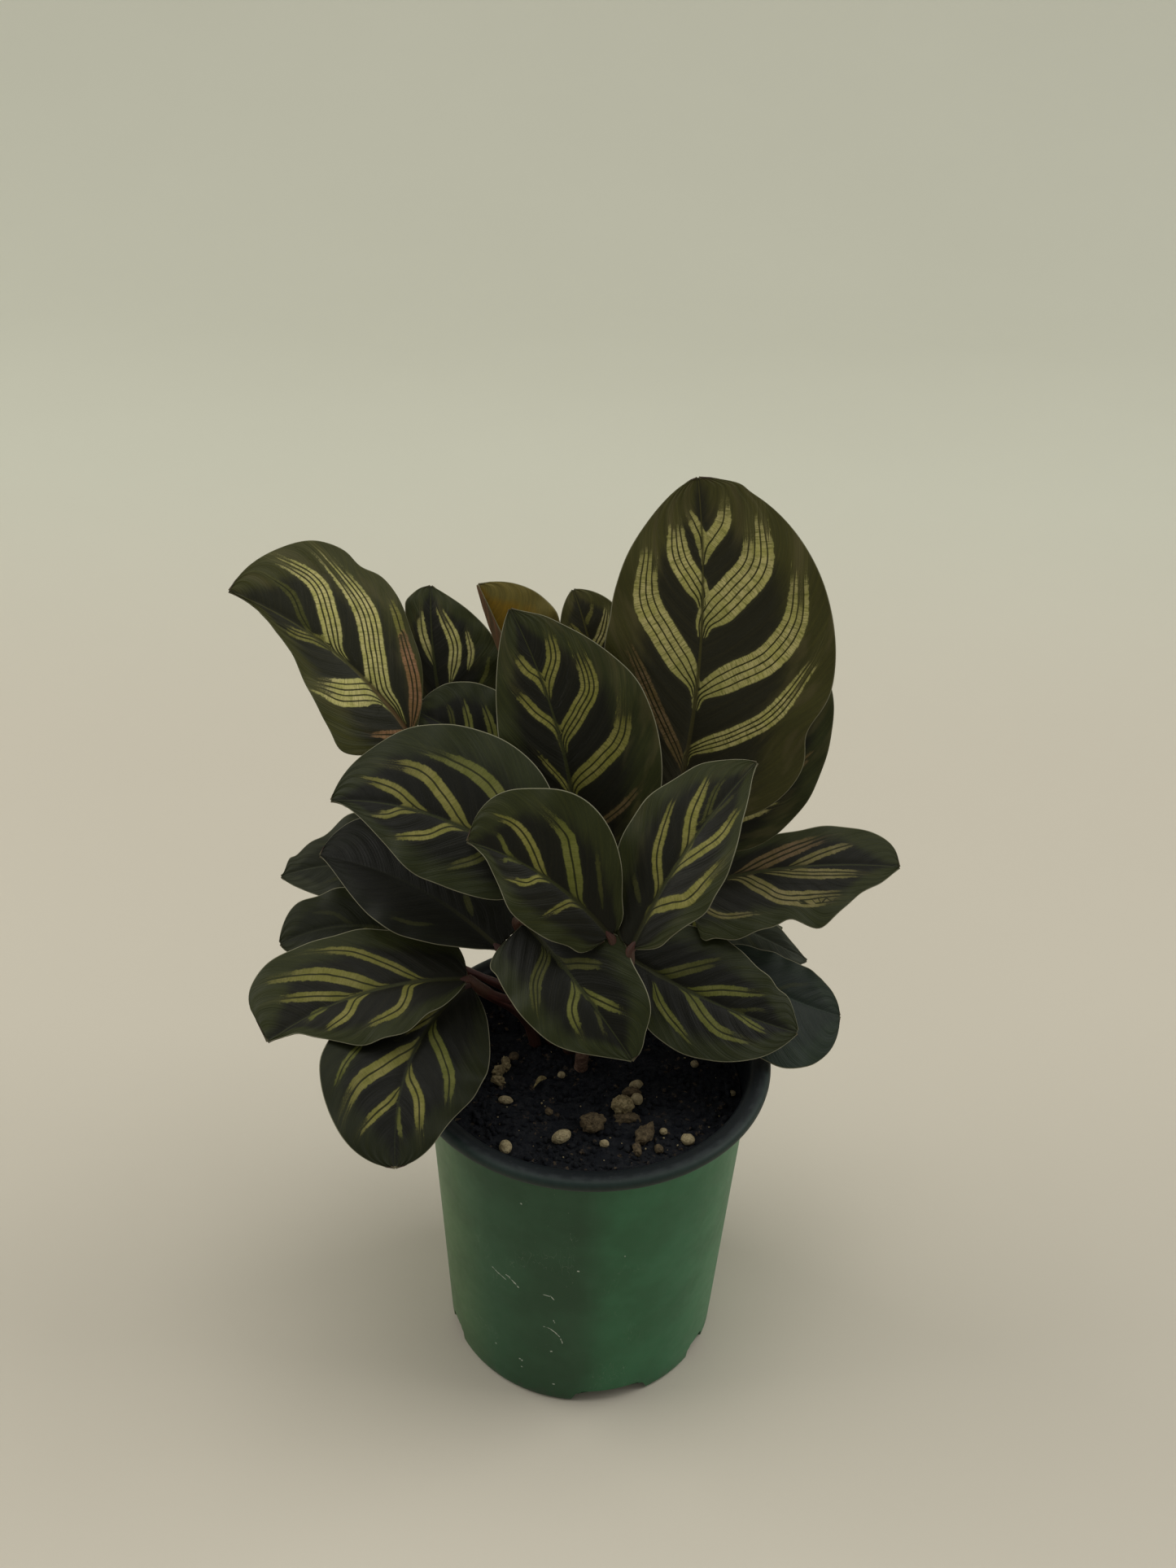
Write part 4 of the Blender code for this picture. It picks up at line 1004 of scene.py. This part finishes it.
def make_stem(name):
    leaf = LEAVES[name]
    k = np.linspace(0, 1, 30)
    stalk = stem_curve(leaf, k)
    lead = stalk[:1] + (stalk[:1] - stalk[1:2]) / np.linalg.norm(stalk[1] - stalk[0]) * np.array([[4.0], [2.0]])
    ribu = np.array([.03, .07, .12, .2, .3, .42, .55, .68, .8, .9])
    point, t, n, _ = midrib(leaf, ribu)
    ribr = .95 * (1 - ribu) ** .8 + .10
    drop = .45 * (1 - ribu) ** .5 + ribr + .12
    rib = point - n * drop[:, None]
    path = np.concatenate((lead, stalk, rib))
    base_r = STEM_FOOT_R + (STEM_R - STEM_FOOT_R) * np.minimum(1, k * 2.2)
    joint = np.maximum(0, 1 - (np.abs(k - .9) / .11) ** 2)
    r = base_r + (STEM_JOINT_R - STEM_R) * joint
    radius = np.concatenate(([STEM_FOOT_R * 1.05] * 2, r, ribr))
    tcoord = np.concatenate(([-.05, -.02], k, 1 + ribu))
    wob = 1 + .04 * np.sin(np.arange(len(radius)) * 1.3 + LEAF_SEED[name])
    # the foot of each stalk is wrapped in a flat sheath
    sides = 16
    wide = 1 + SHEATH.get(name, .35) * (1 - smooth(.38, .62, tcoord))
    verts, quads, caps, ang = tube(path, radius * wob, sides, squeeze=wide)
    ts = np.concatenate((np.repeat(tcoord, sides), [tcoord[0], tcoord[-1]]))
    ring = np.concatenate((np.tile(np.cos(ang), len(path)), [0, 0]))
    husk = np.full(len(verts), min(.9, SHEATH.get(name, .35)))
    obj = build_mesh("stalk_" + name, verts, [quads, caps], [STALK],
                     attrs=dict(t=ts, ring=ring, sheath=husk, seed=np.full(len(verts), LEAF_SEED[name])))
    keep(obj, "stalk", "stem_" + name)


for name in LEAVES:
    make_leaf(name)
    make_stem(name)


# ------------------------------------------------------------------ pot
def wall_r(z):
    return POT_BASE_R + (POT_TOP_R - POT_BASE_R) / (POT_HEIGHT - LIP_DEPTH) * z


def make_pot():
    profile = [(0.0, 2.0), (20.0, 2.0), (wall_r(2) - WALL - 1.5, 2.0), (wall_r(2) - WALL - .3, 2.3),
               (wall_r(3) - WALL, 3.2)]
    for z in np.linspace(8, 103, 24):
        profile.append((wall_r(z) - WALL, float(z)))
    profile += [(wall_r(104) - WALL, 104.2), (POT_TOP_R - WALL + .15, 105.4), (POT_TOP_R - WALL + .6, 106.6),
                (POT_TOP_R - .2, 107.6), (POT_TOP_R + .7, 108.2), (POT_TOP_R + 1.8, 108.45),
                (POT_TOP_R + 3.0, 108.5), (LIP_R - 1.9, 108.45), (LIP_R - 1.0, 108.2), (LIP_R - .35, 107.7),
                (LIP_R - .05, 107.0), (LIP_R, 106.4), (LIP_R - .12, 105.7), (LIP_R - .5, 105.2),
                (LIP_R - 1.0, 105.0), (POT_TOP_R + 1.2, 105.0), (POT_TOP_R + .25, 104.7), (POT_TOP_R - .05, 103.8)]
    for z in np.linspace(100, 4, 26):
        profile.append((wall_r(z), float(z)))
    profile += [(wall_r(2.2), 2.2), (wall_r(1.2), 1.2), (POT_BASE_R - .35, .4), (POT_BASE_R - 1.2, 0.0),
                (POT_BASE_R - 8, 0.0), (20.0, 0.0), (0.0, 0.0)]
    profile = np.array(profile)
    sides = 192
    ang = np.arange(sides) * 2 * math.pi / sides
    rings = profile[1:-1]
    x = rings[:, :1] * np.cos(ang)
    y = rings[:, :1] * np.sin(ang)
    z = np.repeat(rings[:, 1:], sides, 1)
    # thin plastic is never quite round; the edge of the lip waves a little
    high = np.clip(z / POT_HEIGHT, 0, 1)
    flex = 1 + high ** 2 * (.0022 * np.sin(2 * ang + .6) + .0010 * np.sin(5 * ang + 1.0))[None, :]
    verts = np.stack((x * flex, y * flex, z), -1).reshape(-1, 3)
    n = len(verts)
    verts = np.concatenate((verts, [[0, 0, profile[0][1]], [0, 0, profile[-1][1]]]))
    quads = grid_faces(len(rings), sides, wrap=True)
    j = np.arange(sides)
    first = np.stack((np.full(sides, n), (j + 1) % sides, j), -1)
    last0 = (len(rings) - 1) * sides
    last = np.stack((np.full(sides, n + 1), last0 + j, last0 + (j + 1) % sides), -1)
    obj = build_mesh("pot_shell", verts, [quads[:, ::-1], first[:, ::-1], last[:, ::-1]], [POT_MAT])
    cutters = []
    for index, (centre, width) in enumerate(NOTCHES):
        bm = bmesh.new()
        bmesh.ops.create_cube(bm, size=1.0)
        chord = 2 * POT_BASE_R * math.sin(math.radians(width / 2))
        bmesh.ops.scale(bm, vec=Vector((9 * MM, chord * MM, 10.4 * MM)), verts=bm.verts)
        for v in bm.verts:
            if v.co.z > 0:
                v.co.y *= 0.70
        bmesh.ops.bevel(bm, geom=[e for e in bm.edges if all(v.co.z > 0 for v in e.verts)
                                  and abs(e.verts[0].co.y - e.verts[1].co.y) < 1e-6],
                        offset=1.2 * MM, segments=3, affect="EDGES")
        mesh = bpy.data.meshes.new("notch_cut_%d" % index)
        bmesh.ops.recalc_face_normals(bm, faces=bm.faces)
        bm.to_mesh(mesh)
        bm.free()
        cutter = bpy.data.objects.new("notch_cut_%d" % index, mesh)
        bpy.context.scene.collection.objects.link(cutter)
        cutter.matrix_world = (Matrix.Rotation(math.radians(centre), 4, "Z")
                               @ Matrix.Translation(((POT_BASE_R + 0.5) * MM, 0, 0)))
        cutters.append(cutter)
        cut = obj.modifiers.new("notch_%d" % index, "BOOLEAN")
        cut.operation = "DIFFERENCE"
        cut.solver = "EXACT"
        cut.object = cutter
    bpy.context.view_layer.update()
    deps = bpy.context.evaluated_depsgraph_get()
    done = bpy.data.meshes.new_from_object(obj.evaluated_get(deps))
    obj.modifiers.clear()
    old = obj.data
    obj.data = done
    bpy.data.meshes.remove(old)
    for cutter in cutters:
        bpy.data.objects.remove(cutter, do_unlink=True)
    obj.data.shade_smooth()
    obj.data.set_sharp_from_angle(angle=math.radians(40))
    keep(obj, "pot", "pot")


POT_MAT = pot_material()
make_pot()


# ------------------------------------------------------------------ potting mix
def soil_height(x, y):
    r = np.hypot(x, y)
    edge = wall_r(SOIL_EDGE) - WALL - .3
    z = np.where(r < PLATEAU_R, SOIL_TOP, SOIL_TOP + (SOIL_EDGE - SOIL_TOP) * (r - PLATEAU_R) / (edge - PLATEAU_R))
    p = np.stack((x, y, np.zeros_like(x)), -1)
    z = z + 1.5 * (fractal(p * .10, 3, 5) - .45) + 1.2 * (fractal(p * .42, 3, 9) - .45)
    return z + .5 * (value_noise(p * 1.6, 21) - .5)


def make_soil():
    edge = wall_r(SOIL_EDGE) - WALL - .15
    rings, sides = 110, 300
    rr = edge * (np.arange(1, rings + 1) / rings) ** .8
    ang = np.arange(sides) * 2 * math.pi / sides
    x = (rr[:, None] * np.cos(ang)).ravel()
    y = (rr[:, None] * np.sin(ang)).ravel()
    z = soil_height(x, y)
    top = np.stack((x, y, z), -1)
    skirt = []
    for depth in (88.0, 60.0, 30.0, 5.6):
        r = wall_r(depth) - WALL - .3
        skirt.append(np.stack((r * np.cos(ang), r * np.sin(ang), np.full(sides, depth)), -1))
    r = wall_r(2.3) - WALL - 5.8
    skirt.append(np.stack((r * np.cos(ang), r * np.sin(ang), np.full(sides, 2.3)), -1))
    verts = np.concatenate([top] + skirt)
    n = len(verts)
    verts = np.concatenate((verts, [[0, 0, float(soil_height(np.array([0.0]), np.array([0.0]))[0])], [0, 0, 2.3]]))
    rows = rings + len(skirt)
    quads = grid_faces(rows, sides, wrap=True)
    j = np.arange(sides)
    first = np.stack((np.full(sides, n), j, (j + 1) % sides), -1)
    last0 = (rows - 1) * sides
    last = np.stack((np.full(sides, n + 1), last0 + (j + 1) % sides, last0 + j), -1)
    obj = build_mesh("mix_body", verts, [quads[:, ::-1], first, last], [SOIL_MAT])
    bm = bmesh.new()
    bm.from_mesh(obj.data)
    bmesh.ops.recalc_face_normals(bm, faces=bm.faces)
    bm.to_mesh(obj.data)
    bm.free()
    keep(obj, "soil", "soil")


def ball(level):
    bm = bmesh.new()
    bmesh.ops.create_icosphere(bm, subdivisions=level, radius=1.0)
    v = np.array([p.co[:] for p in bm.verts])
    f = np.array([[q.index for q in p.verts] for p in bm.faces])
    bm.free()
    return v, f


BALLS = {k: ball(k) for k in (1, 2, 3, 4)}


def lump(level, centre, size, turn, seed, rough=.25, cells=2.2):
    """One crumb: a ball squeezed to size, dented by noise, turned and placed."""
    v, f = BALLS[level]
    d = 1 + rough * (fractal(v * cells + seed * 1.3, 3, int(seed) & 1023) - .45) * 2
    d = d - rough * .5 * np.maximum(0, value_noise(v * cells * 1.9 + seed, 3) - .62) * 2
    p = v * d[:, None] * np.asarray(size) / 2
    c, s_ = math.cos(turn[0]), math.sin(turn[0])
    p = p @ np.array(((c, -s_, 0), (s_, c, 0), (0, 0, 1))).T
    c, s_ = math.cos(turn[1]), math.sin(turn[1])
    p = p @ np.array(((1, 0, 0), (0, c, -s_), (0, s_, c))).T
    return p + np.asarray(centre), f


def join_lumps(name, items, mat, slot, *replaced):
    verts, faces, total = [], [], 0
    for v, f in items:
        verts.append(v)
        faces.append(f + total)
        total += len(v)
    obj = build_mesh(name, np.concatenate(verts), [np.concatenate(faces)], [mat])
    return keep(obj, slot, *replaced)


def place_lump(level, x, y, size, turn=0.0, seed=1, rough=.25, sink=.25, cells=2.2):
    z = float(soil_height(np.array([x]), np.array([y]))[0])
    return lump(level, (x, y, z + size[2] * (.5 - sink)), size, (math.radians(turn), 0.0), seed, rough, cells)


SOIL_MAT = soil_material()
PUMICE = grit_material("pumice", (.350, .285, .150), (.150, .118, .058), (.035, .028, .018))
PALE = grit_material("pale_grit", (.440, .370, .215), (.285, .230, .125), (.120, .095, .055))
BARK = grit_material("bark", (.150, .112, .060), (.060, .045, .026), (.018, .014, .010))
STUB = grit_material("cut_stalk", (.190, .120, .080), (.100, .052, .036), (.050, .026, .018))
TWIG = grit_material("dry_scrap", (.300, .250, .110), (.130, .100, .045), (.060, .045, .025))
make_soil()

# crumbs of peat and bark all over the mix
rng = np.random.default_rng(11)
crumbs = []
limit = wall_r(SOIL_EDGE) - WALL - 1.6
for i in range(2300):
    r, a = limit * math.sqrt(rng.random()), rng.random() * 2 * math.pi
    x, y = r * math.cos(a), r * math.sin(a)
    grow = rng.random() ** 3
    size = (.7 + 2.4 * grow) * np.array((1, .55 + .4 * rng.random(), .45 + .35 * rng.random()))
    level = 2 if size[0] > 1.5 else 1
    z = float(soil_height(np.array([x]), np.array([y]))[0])
    crumbs.append(lump(level, (x, y, z + size[2] * .12), size, (rng.random() * 6.3, rng.random() * .8), i, .3))
join_lumps("mix_crumbs", crumbs, SOIL_MAT, "soil")

specks = []
for i in range(120):
    r, a = limit * math.sqrt(rng.random()), rng.random() * 2 * math.pi
    x, y = r * math.cos(a), r * math.sin(a)
    size = (.35 + .55 * rng.random() ** 2) * np.array((1, .8, .7))
    z = float(soil_height(np.array([x]), np.array([y]))[0])
    specks.append(lump(1, (x, y, z + size[2] * .5), size, (rng.random() * 6.3, 0), i + 900, .2))
join_lumps("mix_specks", specks, PALE, "pumice")

join_lumps("grit_oval", [place_lump(4, -7.5, -26.0, (6.4, 4.0, 3.8), 35, 3, .06, .12, 1.2)], PALE, "pumice", "pumice_oval")
join_lumps("grit_round", [place_lump(4, 10.3, -12.5, (6.8, 6.2, 5.8), 0, 7, .34, .12, 2.8)], PUMICE, "pumice", "pumice_round")
join_lumps("grit_left", [
    place_lump(4, -25.6, 5.0, (2.8, 5.2, 3.6), 15, 11, .55, .2, 2.2),
    place_lump(4, -27.6, 1.4, (4.2, 3.4, 3.8), 40, 13, .60, .2, 2.4),
    place_lump(4, -27.6, -3.0, (2.8, 4.4, 3.4), 70, 17, .55, .2, 2.2)], PUMICE, "pumice", "pumice_left")
join_lumps("bark_ball", [place_lump(4, 1.6, -19.5, (7.8, 6.8, 5.0), 15, 19, .40, .2, 2.4)], BARK, "bark", "bark_round")
join_lumps("bark_chip", [place_lump(4, 17.1, -23.0, (5.4, 8.6, 4.6), -24, 23, .60, .2, 1.6)], BARK, "bark", "bark_wedge")
join_lumps("grit_more", [
    place_lump(3, -23.6, -29.5, (3.8, 5.0, 3.0), 10, 29, .08, .15, 1.4),
    place_lump(3, 5.1, -27.0, (2.9, 2.6, 2.2), 0, 31, .12, .15),
    place_lump(3, 29.7, -23.5, (4.4, 4.0, 3.0), -30, 37, .14, .2),
    place_lump(3, 14.8, -9.2, (3.6, 4.2, 3.4), 20, 41, .14, .1),
    place_lump(3, 22.5, -21.4, (2.4, 2.3, 2.0), 0, 43, .12, .1),
    place_lump(3, -24.7, -10.4, (4.6, 2.8, 2.4), -10, 47, .12, .1),
    place_lump(3, -8.3, .8, (2.5, 2.3, 2.2), 0, 53, .18, .1),
    place_lump(3, 14.6, -2.2, (4.4, 3.0, 2.8), 15, 59, .2, .15),
    place_lump(3, 32.8, 8.0, (2.6, 2.4, 2.2), 0, 61, .12, .1),
    place_lump(3, 44.0, -2.4, (2.3, 2.0, 1.6), 0, 67, .12, .1)], PALE, "pumice")
join_lumps("bark_more", [
    place_lump(3, 11.8, -16.5, (8.0, 4.0, 3.0), 0, 71, .55, .3, 2.0),
    place_lump(3, 13.0, -5.8, (6.4, 3.6, 3.4), 10, 73, .5, .2, 2.0),
    place_lump(3, 21.0, -27.6, (2.6, 3.4, 2.4), 30, 79, .2, .2),
    place_lump(3, 14.6, -29.0, (2.6, 5.4, 2.4), 8, 83, .5, .2),
    place_lump(3, -23.3, 8.6, (3.1, 3.6, 2.6), 0, 89, .2, .2),
    place_lump(3, -11.5, -14.5, (2.4, 3.0, 1.8), 30, 97, .25, .3)], BARK, "bark")

# a dry curled scrap lying on the mix
k = np.linspace(0, 1, 12)
scrap = np.stack((-16.5 + 3.6 * k, -5.6 + 4.2 * k, 97.4 + 1.6 * np.sin(k * 3.0)), -1)
sv, sq, sc, _ = tube(scrap, .25 + .85 * np.sin(math.pi * np.clip(k, .04, .96)), 10, squeeze=np.full(12, .45))
keep(build_mesh("dry_scrap", sv, [sq, sc], [TWIG]), "bark")

# cut stub of an old stalk
k = np.linspace(0, 1, 14)
stub_path = np.stack((-2.6 + .5 * k, 5.4 + .3 * k, 93.0 + 8.6 * k), -1)
bv, bq, bc, bang = tube(stub_path, 2.25 - .25 * k + .08 * np.sin(k * 9), 18)
stub = build_mesh("stub", bv, [bq, bc], [STUB])
keep(stub, "stalk", "cut_stub")

# ------------------------------------------------------------------ floor, light, camera
FLOOR = floor_material()
rows = []
for y in np.linspace(-3.6, 1.1, 10):
    rows.append((y, 0.0))
for a in np.linspace(0, 90, 19)[1:]:
    rows.append((1.1 + .9 * math.sin(math.radians(a)), .9 - .9 * math.cos(math.radians(a))))
rows += [(2.0, 1.6), (2.0, 3.2)]
fv = np.array([[x * 1000, y * 1000, z * 1000] for y, z in rows for x in np.linspace(-6.0, 6.0, 9)])
floor = build_mesh("floor", fv, [grid_faces(len(rows), 9)], [FLOOR])


def area(name, at, target, size, power, colour):
    lamp = bpy.data.lights.new(name, "AREA")
    lamp.shape = "RECTANGLE"
    lamp.size, lamp.size_y = size
    lamp.energy = power
    lamp.color = colour
    obj = bpy.data.objects.new(name, lamp)
    bpy.context.scene.collection.objects.link(obj)
    obj.location = at
    obj.rotation_euler = (Vector(target) - Vector(at)).to_track_quat("-Z", "Y").to_euler()
    return obj


area("key", (1.7, .25, 1.5), (0, 0, .15), (1.4, 1.4), 18.2, (1.0, .99, .96))
area("fill", (-1.7, .25, 1.2), (0, 0, .12), (1.5, 1.3), 17.2, (1.0, .98, .93))
area("top", (0, .1, 2.1), (0, 0, .2), (1.4, 1.2), 13, (1.0, .985, .95))

world = bpy.data.worlds.new("soft_room")
bpy.context.scene.world = world
world.use_nodes = True
world.node_tree.nodes["Background"].inputs["Color"].default_value = (.92, .90, .84, 1)
world.node_tree.nodes["Background"].inputs["Strength"].default_value = .30

cam_data = bpy.data.cameras.new("camera")
cam = bpy.data.objects.new("camera", cam_data)
bpy.context.scene.collection.objects.link(cam)
PITCH, ROLL = math.radians(32.28), math.radians(1.83)
fwd = Vector((0, math.cos(PITCH), -math.sin(PITCH)))
right0 = Vector((1, 0, 0))
up0 = right0.cross(fwd)
right = right0 * math.cos(ROLL) + up0 * math.sin(ROLL)
up = up0 * math.cos(ROLL) - right0 * math.sin(ROLL)
rot = Matrix((right, up, -fwd)).transposed().to_4x4()
cam.matrix_world = Matrix.Translation((-.0030, -.3594, .4302)) @ rot
cam_data.sensor_fit = "AUTO"
cam_data.sensor_width = 36.0
cam_data.lens = 36.0 * 1935.8 / 1927.0
cam_data.clip_start = .01
cam_data.clip_end = 50
cam_data.dof.use_dof = False
bpy.context.scene.camera = cam
bpy.context.scene.view_settings.view_transform = "Standard"
